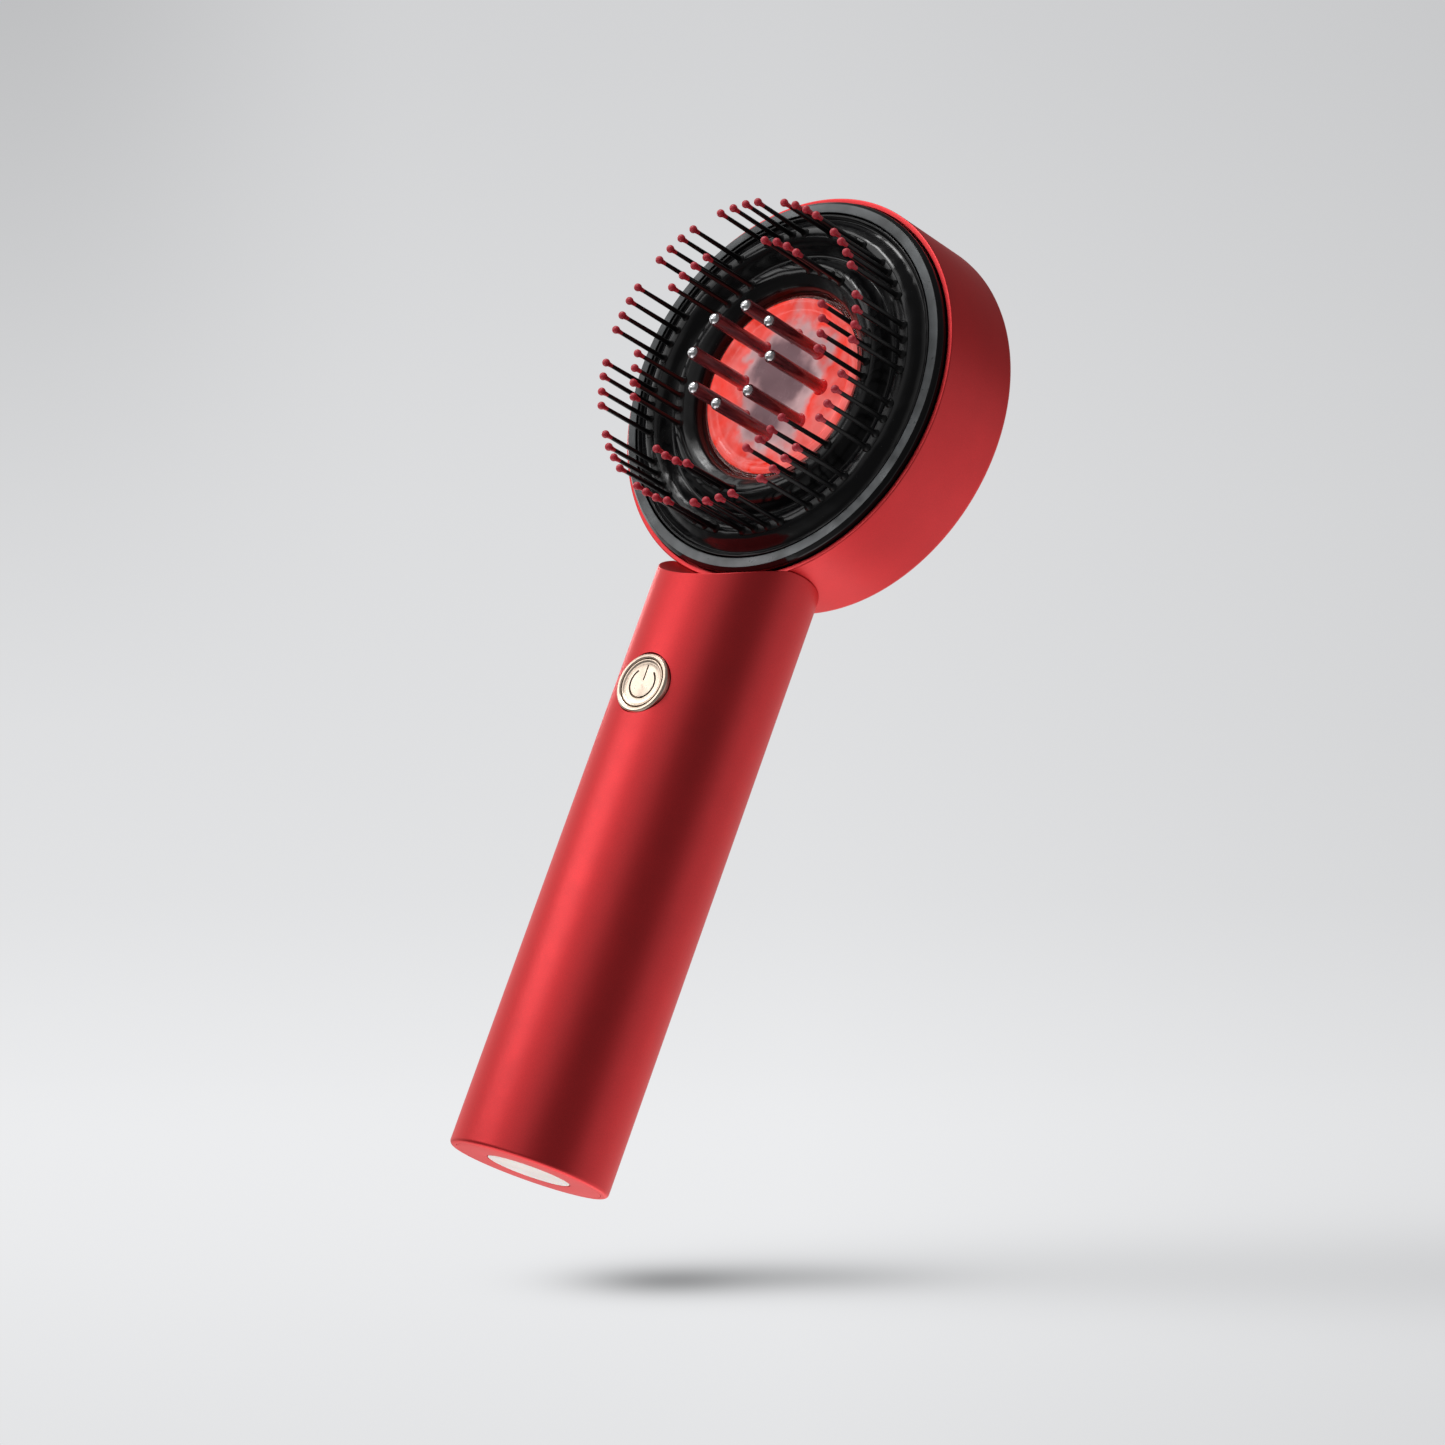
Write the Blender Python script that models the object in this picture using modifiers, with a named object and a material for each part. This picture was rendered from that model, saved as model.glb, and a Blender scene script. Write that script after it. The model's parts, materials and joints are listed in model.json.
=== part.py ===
"""Electric scalp massage comb: a cylindrical handle that carries a round drum of bristles and roller balls.

World frame: the handle's axis is +Z, the centre of its flat base is the origin, and the comb faces -Y.
Head frame: parts of the drum are placed under the empty "head_axis". Its origin is the centre of the drum's
front plane, its +Z points out of the drum's face, its +Y up the face and its +X to the right of the face.
Button frame: under "button_axis" +Z points out of the handle's front, measured from the handle's axis.
Sizes in outlines, profiles and boxes are millimetres, and MM brings them to metres.
"""

import math

import bmesh
import bpy
from mathutils import Matrix, Vector

MM = 0.001

# Driving dimensions, in millimetres.
GAP = 0.3                    # free space between neighbouring pieces
HANDLE_RADIUS = 15.75
HANDLE_WALL = 1.4
HANDLE_BLANK = 128.0         # the housing's height before the drum's room is cut from its top
BASE_ROUNDING = 0.8
DRUM_RADIUS = 40.0
DRUM_DEPTH = 20.0
DRUM_WALL = 1.6
DRUM_ROUNDING = 1.2
RIM = 1.0                    # wall left at the drum's mouth, around the bezel ring
RIM_CHAMFER = 0.25
AXES_CROSS_Z = 160.6         # height where the drum's axis crosses the handle's axis
FACE_OFFSET = 6.15           # from that crossing forward to the drum's front plane
FACE_TILT = math.radians(4.07)   # the face looks this much below the horizontal
RELIEF_SLOPE = 0.35          # how fast the handle's top falls away in front of the drum
BUTTON_Z = 93.3
BEZEL_RADIUS = 6.1
BUTTON_RADIUS = 4.85
CELL_RADIUS = 9.15
CELL_Y = 3.4                 # battery and motor stand on one axis behind the handle's axis
CELL_LOW, CELL_HIGH = 17.5, 82.8
MOTOR_RADIUS = 6.0
MOTOR_LOW, MOTOR_HIGH = 88.0, 106.0
SHAFT_RADIUS = 1.0
BOARD_FRONT, BOARD_BACK = -9.7, -8.5
BOARD_LOW, BOARD_HIGH = 10.0, 108.0
BOARD_SCREWS = (24.0, 80.0)  # heights of the two screws that hold the main board
PLATE_FRONT, PLATE_BACK = -7.9, -6.7
STUD_HEIGHT = -10.5          # the hollow neck stud crosses the drum's wall this far behind the face
STUD_RADIUS = 4.5
STUD_BORE = 2.8
LEAD_RADIUS = 0.5
CAP_HEIGHT = 8.0
CAP_RECESS = 1.5
PORT_COVER_RADIUS = 8.2
PORT_COVER_THICKNESS = 1.2
LENS_RADIUS = 18.17
CUP_RADIUS = 18.6
CUP_LOW = -12.9
WELL_RADIUS, WELL_WALL = 19.2, 20.4
FLANGE_LOW, FLANGE_HIGH = -14.1, -12.9
OUTER_RING, OUTER_GROUPS, OUTER_FIRST, OUTER_PITCH = 31.1, 12, 15.0, 5.73
INNER_RING, INNER_GROUPS, INNER_FIRST, INNER_PITCH = 23.1, 6, 15.0, 7.73
OUTER_PAD_TOP, INNER_PAD_TOP = 3.3, 4.1
PINS_IN_GROUP = 4
PIN_RADIUS = 0.4
TIP_RADIUS = 0.8
TIP_HEIGHT = 18.5            # centre of a bristle's ball tip above the face
BALL_RING, BALL_COUNT = 10.1, 8
BALL_RADIUS = 1.2
BALL_HEIGHT = 16.6
TUBE_RADIUS = 1.35
LIGHT_BOARD_RADIUS, LIGHT_BOARD_LOW, LIGHT_BOARD_HIGH = 16.7, -17.9, -16.9
LED_RING, LED_COUNT = 10.0, 6
BOSS_RING, BOSS_COUNT, BOSS_FIRST = 24.0, 3, 90.0
BOSS_TOP = -14.4

# Steps of a full turn, by the size of the piece.
SHELL_STEPS, RING_STEPS, MIDDLE_STEPS, SMALL_STEPS, TINY_STEPS = 60, 40, 20, 14, 8
PIN_STEPS = 5

SHARP_ANGLE = math.radians(40.0)
MERGE = 1e-5

PARTS = "electric_scalp_massage_comb"
CUTTERS = "cutters"

RED = ((0.42, 0.012, 0.018), 0.32, 0.75)
GLOSS_BLACK = ((0.012, 0.012, 0.014), 0.15, 0.0)
SATIN_GREY = ((0.06, 0.065, 0.07), 0.35, 0.6)
BRISTLE = ((0.015, 0.015, 0.015), 0.4, 0.0)
GOLD = ((0.83, 0.68, 0.52), 0.25, 1.0)
STEEL = ((0.75, 0.75, 0.77), 0.12, 1.0)
CLEAR_RED = ((0.85, 0.08, 0.05), 0.1, 0.0)
CLEAR = ((0.85, 0.8, 0.82), 0.08, 0.0)
PALE_SILICONE = ((0.78, 0.72, 0.7), 0.5, 0.0)
BLACK_RUBBER = ((0.03, 0.03, 0.03), 0.7, 0.0)
NATURAL_PLASTIC = ((0.6, 0.6, 0.58), 0.5, 0.0)
BOARD_GREEN = ((0.02, 0.16, 0.07), 0.45, 0.0)
CELL_BLUE = ((0.05, 0.18, 0.4), 0.35, 0.0)
WIRE_RED = ((0.5, 0.03, 0.03), 0.5, 0.0)
BRASS = ((0.75, 0.55, 0.25), 0.3, 1.0)
LED_WHITE = ((0.9, 0.85, 0.75), 0.3, 0.0)


# ---------------------------------------------------------------- helpers

def clear_scene():
    for obj in list(bpy.data.objects):
        bpy.data.objects.remove(obj)
    for name in (PARTS, CUTTERS):
        bpy.context.scene.collection.children.link(bpy.data.collections.new(name))


def link(obj, frame, finish):
    """Puts obj under its frame: a part with its own material, or a cutter when there is no finish."""
    obj.parent = frame
    bpy.data.collections[PARTS if finish else CUTTERS].objects.link(obj)
    if finish:
        obj.data.materials.append(painted(obj.name, finish))
    else:
        obj.hide_render = True
        obj.display_type = "WIRE"
    return obj


def painted(name, finish):
    colour, roughness, metallic = finish
    material = bpy.data.materials.new(name + "_finish")
    material.use_nodes = True
    shader = material.node_tree.nodes["Principled BSDF"]
    shader.inputs["Base Color"].default_value = (*colour, 1.0)
    shader.inputs["Roughness"].default_value = roughness
    shader.inputs["Metallic"].default_value = metallic
    material.diffuse_color = (*colour, 1.0)
    return material


def axis_empty(name, location, tilt=0.0):
    """An empty whose axes the pieces under it share. tilt turns it about X."""
    empty = bpy.data.objects.new(name, None)
    empty.location = Vector(location) * MM
    empty.rotation_euler = (tilt, 0.0, 0.0)
    bpy.data.collections[PARTS].objects.link(empty)
    return empty


def on_circle(radius, degrees):
    angle = math.radians(degrees)
    return radius * math.cos(angle), radius * math.sin(angle)


def arc(centre, radius, first, last, steps):
    """Points from angle first to last, in degrees, about a centre."""
    points = []
    for step in range(steps + 1):
        x, y = on_circle(radius, first + (last - first) * step / steps)
        points.append((centre[0] + x, centre[1] + y))
    return points


def circle(centre, radius, steps):
    return arc(centre, radius, 0.0, 360.0, steps)[:-1]


def stadium(half_length, half_width, steps=4):
    """A rounded slot's outline, long along X."""
    reach = half_length - half_width
    return (arc((reach, 0.0), half_width, -90.0, 90.0, steps)
            + arc((-reach, 0.0), half_width, 90.0, 270.0, steps))


def sector(ring_radius, half_width, middle, half_angle, steps):
    """The outline of a stretch of a ring."""
    outer = arc((0.0, 0.0), ring_radius + half_width, middle - half_angle, middle + half_angle, steps)
    inner = arc((0.0, 0.0), ring_radius - half_width, middle + half_angle, middle - half_angle, steps)
    return outer + inner


def smooth(mesh):
    mesh.shade_smooth()
    mesh.set_sharp_from_angle(angle=SHARP_ANGLE)


def turned(name, profile, frame=None, finish=None, steps=MIDDLE_STEPS, centre=(0.0, 0.0, 0.0)):
    """A profile of (radius, height) turned about the frame's Z. It closes unless it starts on the axis."""
    count = len(profile)
    edges = [(i, i + 1) for i in range(count - 1)]
    if profile[0][0] > 0.0:
        edges.append((count - 1, 0))
    mesh = bpy.data.meshes.new(name)
    mesh.from_pydata([(r * MM, 0.0, z * MM) for r, z in profile], edges, [])
    obj = link(bpy.data.objects.new(name, mesh), frame, finish)
    obj.location = Vector(centre) * MM
    screw = obj.modifiers.new("Turn", "SCREW")
    screw.axis = "Z"
    screw.angle = 2.0 * math.pi
    screw.steps = steps
    screw.render_steps = steps
    screw.use_merge_vertices = True
    screw.merge_threshold = MERGE
    screw.use_smooth_shade = True
    return obj


def rod(name, radius, low, high, frame=None, finish=None, steps=SMALL_STEPS, centre=(0.0, 0.0, 0.0)):
    profile = [(0.0, high), (radius, high), (radius, low), (0.0, low)]
    return turned(name, profile, frame, finish, steps, centre)


def prism(name, outlines, low, high, frame=None, finish=None):
    """Closed outlines in the frame's XY plane, raised from low to high. One inside another is a hole."""
    curve = bpy.data.curves.new(name, "CURVE")
    curve.dimensions = "2D"
    curve.fill_mode = "BOTH"
    curve.extrude = (high - low) / 2.0 * MM
    for outline in outlines:
        spline = curve.splines.new("POLY")
        spline.points.add(len(outline) - 1)
        for point, (x, y) in zip(spline.points, outline):
            point.co = (x * MM, y * MM, 0.0, 1.0)
        spline.use_cyclic_u = True
    flat = bpy.data.objects.new(name, curve)
    bpy.data.collections[CUTTERS].objects.link(flat)
    graph = bpy.context.evaluated_depsgraph_get()
    mesh = bpy.data.meshes.new_from_object(flat.evaluated_get(graph))
    bpy.data.objects.remove(flat)
    form = bmesh.new()
    form.from_mesh(mesh)
    bmesh.ops.remove_doubles(form, verts=form.verts, dist=MERGE)
    bmesh.ops.recalc_face_normals(form, faces=form.faces)
    bmesh.ops.translate(form, verts=form.verts, vec=(0.0, 0.0, (low + high) / 2.0 * MM))
    form.to_mesh(mesh)
    form.free()
    mesh.materials.clear()
    smooth(mesh)
    return link(bpy.data.objects.new(name, mesh), frame, finish)


def box(name, low, high, frame=None, finish=None):
    """A block from its lowest to its highest corner."""
    low, high = Vector(low) * MM, Vector(high) * MM
    form = bmesh.new()
    place = Matrix.Translation((low + high) / 2.0) @ Matrix.Diagonal((*(high - low), 1.0))
    bmesh.ops.create_cube(form, size=1.0, matrix=place)
    mesh = bpy.data.meshes.new(name)
    form.to_mesh(mesh)
    form.free()
    return link(bpy.data.objects.new(name, mesh), frame, finish)


def spun(name, profile, centres, steps, frame=None, finish=None):
    """One small turned form at each centre, all in one mesh."""
    form = bmesh.new()
    for x, y in centres:
        axis_point = Vector((x, y, 0.0)) * MM
        corners = [form.verts.new(axis_point + Vector((r, 0.0, z)) * MM) for r, z in profile]
        chain = [form.edges.new(pair) for pair in zip(corners, corners[1:])]
        bmesh.ops.spin(form, geom=corners + chain, cent=axis_point, axis=(0.0, 0.0, 1.0),
                       angle=2.0 * math.pi, steps=steps, use_merge=True)
    bmesh.ops.remove_doubles(form, verts=form.verts, dist=MERGE)
    bmesh.ops.recalc_face_normals(form, faces=form.faces)
    mesh = bpy.data.meshes.new(name)
    form.to_mesh(mesh)
    form.free()
    smooth(mesh)
    return link(bpy.data.objects.new(name, mesh), frame, finish)


def combine(obj, other, operation="DIFFERENCE"):
    modifier = obj.modifiers.new(other.name, "BOOLEAN")
    modifier.object = other
    modifier.operation = operation
    modifier.solver = "EXACT"


def wire(name, points, radius, finish):
    """A round cable through points in the world frame, in millimetres."""
    curve = bpy.data.curves.new(name, "CURVE")
    curve.dimensions = "3D"
    curve.resolution_u = 3
    curve.bevel_depth = radius * MM
    curve.bevel_resolution = 1
    curve.use_fill_caps = True
    spline = curve.splines.new("BEZIER")
    spline.bezier_points.add(len(points) - 1)
    for knot, point in zip(spline.bezier_points, points):
        knot.co = Vector(point) * MM
        knot.handle_left_type = "AUTO"
        knot.handle_right_type = "AUTO"
    return link(bpy.data.objects.new(name, curve), None, finish)


# ---------------------------------------------------------------- handle

def neck_cutter(name, radius, head):
    """The room that the drum takes from the handle's top: its cylinder, then a cone that opens forward."""
    behind, ahead = -DRUM_DEPTH - 10.0, 30.0
    wide = radius + RELIEF_SLOPE * ahead
    profile = [(0.0, ahead), (wide, ahead), (radius, 0.0), (radius, behind), (0.0, behind)]
    return turned(name, profile, head, steps=SHELL_STEPS)


def side_drill(name, radius, near, far, head):
    """A round cutter where the neck stud passes the drum's wall, from near to far off the drum's axis."""
    drill = rod(name, radius, near, far, head, steps=MIDDLE_STEPS, centre=(0.0, 0.0, STUD_HEIGHT))
    drill.rotation_euler = (math.radians(90.0), 0.0, 0.0)
    return drill


def handle_housing(head, button):
    edge = arc((HANDLE_RADIUS - BASE_ROUNDING, BASE_ROUNDING), BASE_ROUNDING, 0.0, -90.0, 2)
    profile = [(0.0, HANDLE_BLANK), (HANDLE_RADIUS, HANDLE_BLANK), *edge, (0.0, 0.0)]
    housing = turned("handle_housing", profile, finish=RED, steps=RING_STEPS)
    cavity = rod("handle_cavity", HANDLE_RADIUS - HANDLE_WALL, -1.0, HANDLE_BLANK + 5.0, steps=RING_STEPS)
    combine(cavity, neck_cutter("neck_inner_room", DRUM_RADIUS + GAP + HANDLE_WALL, head))
    combine(housing, neck_cutter("neck_room", DRUM_RADIUS + GAP, head))
    combine(housing, cavity)
    combine(housing, rod("bezel_hole", BEZEL_RADIUS + GAP, 8.0, 20.0, button, steps=MIDDLE_STEPS))
    combine(housing, side_drill("stud_hole_handle", STUD_RADIUS + GAP, 38.0, 46.0, head))


def base_cap():
    """The floor of the handle: a spigot with a groove for its seal, and a round recess for the port cover."""
    radius = HANDLE_RADIUS - HANDLE_WALL - GAP
    spigot, groove, floor = 12.0, 13.0, 3.0
    recess = PORT_COVER_RADIUS + GAP
    profile = [
        (0.0, floor), (spigot, floor), (spigot, CAP_HEIGHT), (radius, CAP_HEIGHT), (radius, 5.8),
        (groove, 5.8), (groove, 4.2), (radius, 4.2), (radius, 0.0), (recess, 0.0), (recess, CAP_RECESS),
        (0.0, CAP_RECESS),
    ]
    cap = turned("base_cap", profile, finish=RED, steps=MIDDLE_STEPS)
    combine(cap, prism("socket_slot", [stadium(4.8, 1.9)], CAP_RECESS - 1.0, floor + 1.0))


def ring_seal(name, ring_radius, section_radius, height, frame=None):
    """An O-ring."""
    section = arc((ring_radius, height), section_radius, 90.0, -270.0, 6)[:-1]
    turned(name, section, frame, BLACK_RUBBER, MIDDLE_STEPS)


def charging_socket():
    shell = prism("charging_socket", [stadium(4.5, 1.6)], 1.8, 9.1, finish=STEEL)
    combine(shell, prism("socket_mouth", [stadium(4.15, 1.25)], 0.8, 8.3))


def charge_board():
    box("charge_board", (-6.0, 1.9, 3.4), (6.0, 2.9, 15.0), finish=BOARD_GREEN)


def port_cover():
    """A silicone plug, flush with the base."""
    cover = rod("port_cover", PORT_COVER_RADIUS, 0.0, PORT_COVER_THICKNESS,
                finish=PALE_SILICONE, steps=MIDDLE_STEPS)
    combine(cover, prism("cover_tongue", [stadium(3.8, 0.9)], PORT_COVER_THICKNESS / 2.0, 4.2), "UNION")


def battery_carrier():
    """A flat spine with a wall below and above the cell."""
    reach = 13.5
    cut = math.degrees(math.asin(PLATE_FRONT / reach))
    outline = arc((0.0, 0.0), reach, cut, 180.0 - cut, 16)
    half_width, low, high, wall = 9.5, CAP_HEIGHT + 0.6, 104.0, 1.2
    under, over = CELL_LOW - 0.5, CELL_HIGH + 3.2
    carrier = box("battery_carrier", (-half_width, PLATE_FRONT, low), (half_width, PLATE_BACK, high),
                  finish=NATURAL_PLASTIC)
    combine(carrier, prism("carrier_low_wall", [outline], under - wall, under), "UNION")
    combine(carrier, prism("carrier_high_wall", [outline], over, over + wall), "UNION")
    combine(carrier, board_drills("carrier_drill"))


def battery_cell():
    """A round cell with a raised pole at its top."""
    pole, shoulder = 3.0, CELL_HIGH - 0.9
    profile = [(0.0, CELL_HIGH), (pole, CELL_HIGH), (pole, shoulder), (CELL_RADIUS, shoulder),
               (CELL_RADIUS, CELL_LOW), (0.0, CELL_LOW)]
    turned("battery_cell", profile, finish=CELL_BLUE, steps=MIDDLE_STEPS, centre=(0.0, CELL_Y, 0.0))


def board_drills(name):
    """Two short rods along Y where the board's screws pass."""
    radius, near, far = 1.1, 4.0, 12.0
    profile = [(0.0, far), (radius, far), (radius, near), (0.0, near)]
    drills = spun(name, profile, [(0.0, height) for height in BOARD_SCREWS], TINY_STEPS)
    drills.rotation_euler = (math.radians(90.0), 0.0, 0.0)
    return drills


def main_board():
    half_width, chip_height, sunk = 8.0, 1.0, 0.2
    board = box("main_board", (-half_width, BOARD_FRONT, BOARD_LOW), (half_width, BOARD_BACK, BOARD_HIGH),
                finish=BOARD_GREEN)
    chips = ((-3.5, 34.0, 3.5, 41.0), (-5.0, 48.0, 1.0, 53.0), (0.5, 60.0, 5.5, 67.0))
    front, back = BOARD_FRONT - chip_height, BOARD_FRONT + sunk
    for number, (left, low, right, high) in enumerate(chips, 1):
        chip = box(f"board_chip_{number}", (left, front, low), (right, back, high))
        combine(board, chip, "UNION")
    combine(board, board_drills("board_drill"))


def board_screws():
    shank, head, end = 0.75, 1.7, 6.5
    under_head, over_head = 10.0, 11.2
    profile = [(0.0, over_head), (head - 0.4, over_head), (head, over_head - 0.6), (head, under_head),
               (shank, under_head), (shank, end), (0.0, end)]
    for number, height in enumerate(BOARD_SCREWS, 1):
        screw = turned(f"board_screw_{number}", profile, finish=STEEL, steps=TINY_STEPS,
                       centre=(0.0, 0.0, height))
        screw.rotation_euler = (math.radians(90.0), 0.0, 0.0)


def tact_switch(button):
    """A square switch on the main board, with a round stem under the button."""
    half, low, high, stem_top = 3.0, 10.0, 12.4, 13.1
    switch = box("tact_switch", (-half, -half, low), (half, half, high), button, STEEL)
    stem = rod("switch_stem", half / 2.0, high - 0.4, stem_top, button, steps=TINY_STEPS)
    combine(switch, stem, "UNION")


def button_bezel(button):
    """A ring let into the housing from inside, whose lip keeps the button in."""
    lip, bore, top, chamfer = BUTTON_RADIUS + 0.25, 5.55, 15.85, 0.35
    flange, flange_low, flange_high, under_lip, edge = 7.3, 10.9, 11.9, 14.25, 0.15
    profile = [
        (BEZEL_RADIUS - chamfer, top), (BEZEL_RADIUS, top - chamfer), (BEZEL_RADIUS, flange_high),
        (flange, flange_high), (flange, flange_low), (bore, flange_low), (bore, under_lip), (lip, under_lip),
        (lip, top - edge), (lip + edge, top),
    ]
    turned("button_bezel", profile, button, GOLD, MIDDLE_STEPS)


def power_button(button):
    """A shallow dished cap with a flange that stays under the bezel's lip."""
    flange, flange_low, flange_high, bore, ceiling = 5.3, 13.5, 14.0, 4.4, 14.7
    profile = [
        (0.0, 15.35), (3.4, 15.4), (4.1, 15.65), (BUTTON_RADIUS - 0.2, 15.7), (BUTTON_RADIUS, 15.5),
        (BUTTON_RADIUS, flange_high), (flange, flange_high), (flange, flange_low), (bore, flange_low),
        (bore, ceiling), (0.0, ceiling),
    ]
    turned("power_button", profile, button, GOLD, MIDDLE_STEPS)


def button_plunger(button):
    profile = [(0.0, 14.4), (2.4, 14.4), (2.4, 14.0), (1.4, 13.8), (0.0, 13.8)]
    turned("button_plunger", profile, button, BLACK_RUBBER, SMALL_STEPS)


def motor_case(motor):
    bore, chamfer = SHAFT_RADIUS + GAP, 0.5
    profile = [(bore, MOTOR_HIGH), (MOTOR_RADIUS - chamfer, MOTOR_HIGH), (MOTOR_RADIUS, MOTOR_HIGH - chamfer),
               (MOTOR_RADIUS, MOTOR_LOW), (bore, MOTOR_LOW)]
    turned("motor_case", profile, motor, STEEL, MIDDLE_STEPS)


def motor_clamp(motor):
    """A ring round the motor on a foot that meets the carrier's spine."""
    low, high = 92.0, 97.0
    inner, outer = MOTOR_RADIUS + GAP, MOTOR_RADIUS + 1.6
    ring = turned("motor_clamp", [(outer, high), (outer, low), (inner, low), (inner, high)],
                  motor, NATURAL_PLASTIC, MIDDLE_STEPS)
    foot = box("clamp_foot", (-3.0, PLATE_BACK + GAP - CELL_Y, low + 0.5),
               (3.0, -MOTOR_RADIUS - 0.8, high - 0.5), motor)
    combine(ring, foot, "UNION")


def motor_shaft(motor):
    rod("motor_shaft", SHAFT_RADIUS, MOTOR_LOW + 0.6, MOTOR_HIGH + 7.0, motor, STEEL, TINY_STEPS)


def eccentric_weight(motor):
    """A half disc on a hub. It swings as the shaft turns, which makes the comb shake."""
    low, high, hub, swing = MOTOR_HIGH + 1.2, MOTOR_HIGH + 5.7, 2.2, 5.2
    centre = (0.0, 0.0)
    outline = arc(centre, swing, 0.0, 180.0, 12) + arc(centre, hub, 180.0, 360.0, 8)[1:-1]
    bore = circle(centre, SHAFT_RADIUS + GAP, TINY_STEPS)
    prism("eccentric_weight", [outline, bore], low, high, motor, BRASS)


def battery_lead():
    """The cable from the cell's top round the carrier to the main board."""
    points = [(-2.0, CELL_Y, CELL_HIGH + 0.95), (-8.0, 2.0, 84.3), (-10.8, -2.5, 84.5), (-10.7, -6.5, 84.5),
              (-9.6, -8.9, 84.5), (-8.75, -9.1, 84.5)]
    wire("battery_lead", points, LEAD_RADIUS, WIRE_RED)


# ---------------------------------------------------------------- neck

def neck_stud(head):
    """A hollow bolt that holds the drum on the handle and lets the lead through."""
    head_radius, end, under_head, over_head = 6.2, -34.9, -42.0, -43.4
    profile = [(STUD_BORE, end), (STUD_RADIUS, end), (STUD_RADIUS, under_head), (head_radius, under_head),
               (head_radius, over_head), (STUD_BORE, over_head)]
    stand_off_axis(turned("neck_stud", profile, head, STEEL, SMALL_STEPS, (0.0, 0.0, STUD_HEIGHT)))


def neck_nut(head):
    """A hexagonal nut inside the drum's wall."""
    centre, across_corners = (0.0, 0.0), 12.8
    outlines = [circle(centre, across_corners / 2.0, 6), circle(centre, STUD_RADIUS + GAP, SMALL_STEPS)]
    nut = prism("neck_nut", outlines, -37.3, -34.9, head, STEEL)
    nut.location = Vector((0.0, 0.0, STUD_HEIGHT)) * MM
    stand_off_axis(nut)


def stand_off_axis(obj):
    """Turns a piece made along Z so that it runs along the face's Y."""
    obj.rotation_euler = (math.radians(-90.0), 0.0, 0.0)


def head_lead(head):
    """The cable from the main board through the stud to the light board."""
    to_world = head_matrix()
    inside = [(0.0, -45.6, STUD_HEIGHT), (0.0, -43.0, STUD_HEIGHT), (0.0, -36.0, STUD_HEIGHT),
              (0.0, -33.0, STUD_HEIGHT - 1.0), (0.0, -30.8, STUD_HEIGHT - 4.0), (0.0, -26.0, -16.3),
              (0.0, -17.4, -17.4)]
    start = [(-4.0, -9.1, 108.9), (-4.0, -8.0, 112.5), (-2.5, -3.0, 114.8)]
    wire("head_lead", start + [to_world @ Vector(point) for point in inside], LEAD_RADIUS, WIRE_RED)


def head_matrix():
    """From the head frame to the world, both in millimetres."""
    outward = Vector((0.0, -math.cos(FACE_TILT), -math.sin(FACE_TILT)))
    origin = Vector((0.0, 0.0, AXES_CROSS_Z)) + outward * FACE_OFFSET
    return Matrix.Translation(origin) @ Matrix.Rotation(math.radians(90.0) + FACE_TILT, 4, "X")


# ---------------------------------------------------------------- drum

def boss_centres():
    return [on_circle(BOSS_RING, BOSS_FIRST + 360.0 / BOSS_COUNT * n) for n in range(BOSS_COUNT)]


def boss_circles(radius):
    return [circle(centre, radius, TINY_STEPS) for centre in boss_centres()]


def head_shell(head):
    """A round cup with a seat for the bezel ring at its mouth and three screw bosses on its floor."""
    floor, inner = -DRUM_DEPTH + DRUM_WALL, DRUM_RADIUS - DRUM_WALL
    edge = arc((DRUM_RADIUS - DRUM_ROUNDING, DRUM_ROUNDING - DRUM_DEPTH), DRUM_ROUNDING, 0.0, -90.0, 2)
    mouth, seat = DRUM_RADIUS - RIM, -3.0
    profile = [
        (0.0, floor), (inner, floor), (inner, seat), (mouth, seat), (mouth, 0.0),
        (DRUM_RADIUS - RIM_CHAMFER, 0.0), (DRUM_RADIUS, -RIM_CHAMFER), *edge, (0.0, -DRUM_DEPTH),
    ]
    shell = turned("head_shell", profile, head, RED, SHELL_STEPS)
    bosses = prism("shell_bosses", boss_circles(2.6), floor - 0.5, BOSS_TOP, head)
    holes = prism("boss_holes", boss_circles(1.1), floor + 0.6, BOSS_TOP + 1.4, head)
    combine(shell, bosses, "UNION")
    combine(shell, holes)
    combine(shell, side_drill("stud_hole_drum", STUD_RADIUS + GAP, 36.0, 46.0, head))


def bezel_ring(head):
    """The grey ring round the brush plate: a chamfer in front, and a ledge that the plate rests over."""
    outer = DRUM_RADIUS - RIM - GAP
    profile = [
        (38.41, 1.84), (outer, 1.3), (outer, -2.7), (33.5, -2.7), (33.5, -1.7), (36.15, -1.7), (36.15, 2.1),
    ]
    turned("bezel_ring", profile, head, SATIN_GREY, SHELL_STEPS)


def head_chassis(head):
    """The well that takes the reservoir, on a flange that is screwed into the drum."""
    top, flange, ledge, ledge_low, ledge_high = -3.2, 27.5, 17.0, -15.6, -14.7
    profile = [
        (WELL_WALL, top), (WELL_WALL, FLANGE_HIGH), (flange, FLANGE_HIGH), (flange, FLANGE_LOW),
        (WELL_WALL, FLANGE_LOW), (WELL_WALL, ledge_low), (ledge, ledge_low), (ledge, ledge_high),
        (WELL_RADIUS, ledge_high), (WELL_RADIUS, top),
    ]
    chassis = turned("head_chassis", profile, head, NATURAL_PLASTIC, MIDDLE_STEPS)
    combine(chassis, prism("flange_holes", boss_circles(1.15), FLANGE_LOW - 0.9, FLANGE_HIGH + 0.9, head))


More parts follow.
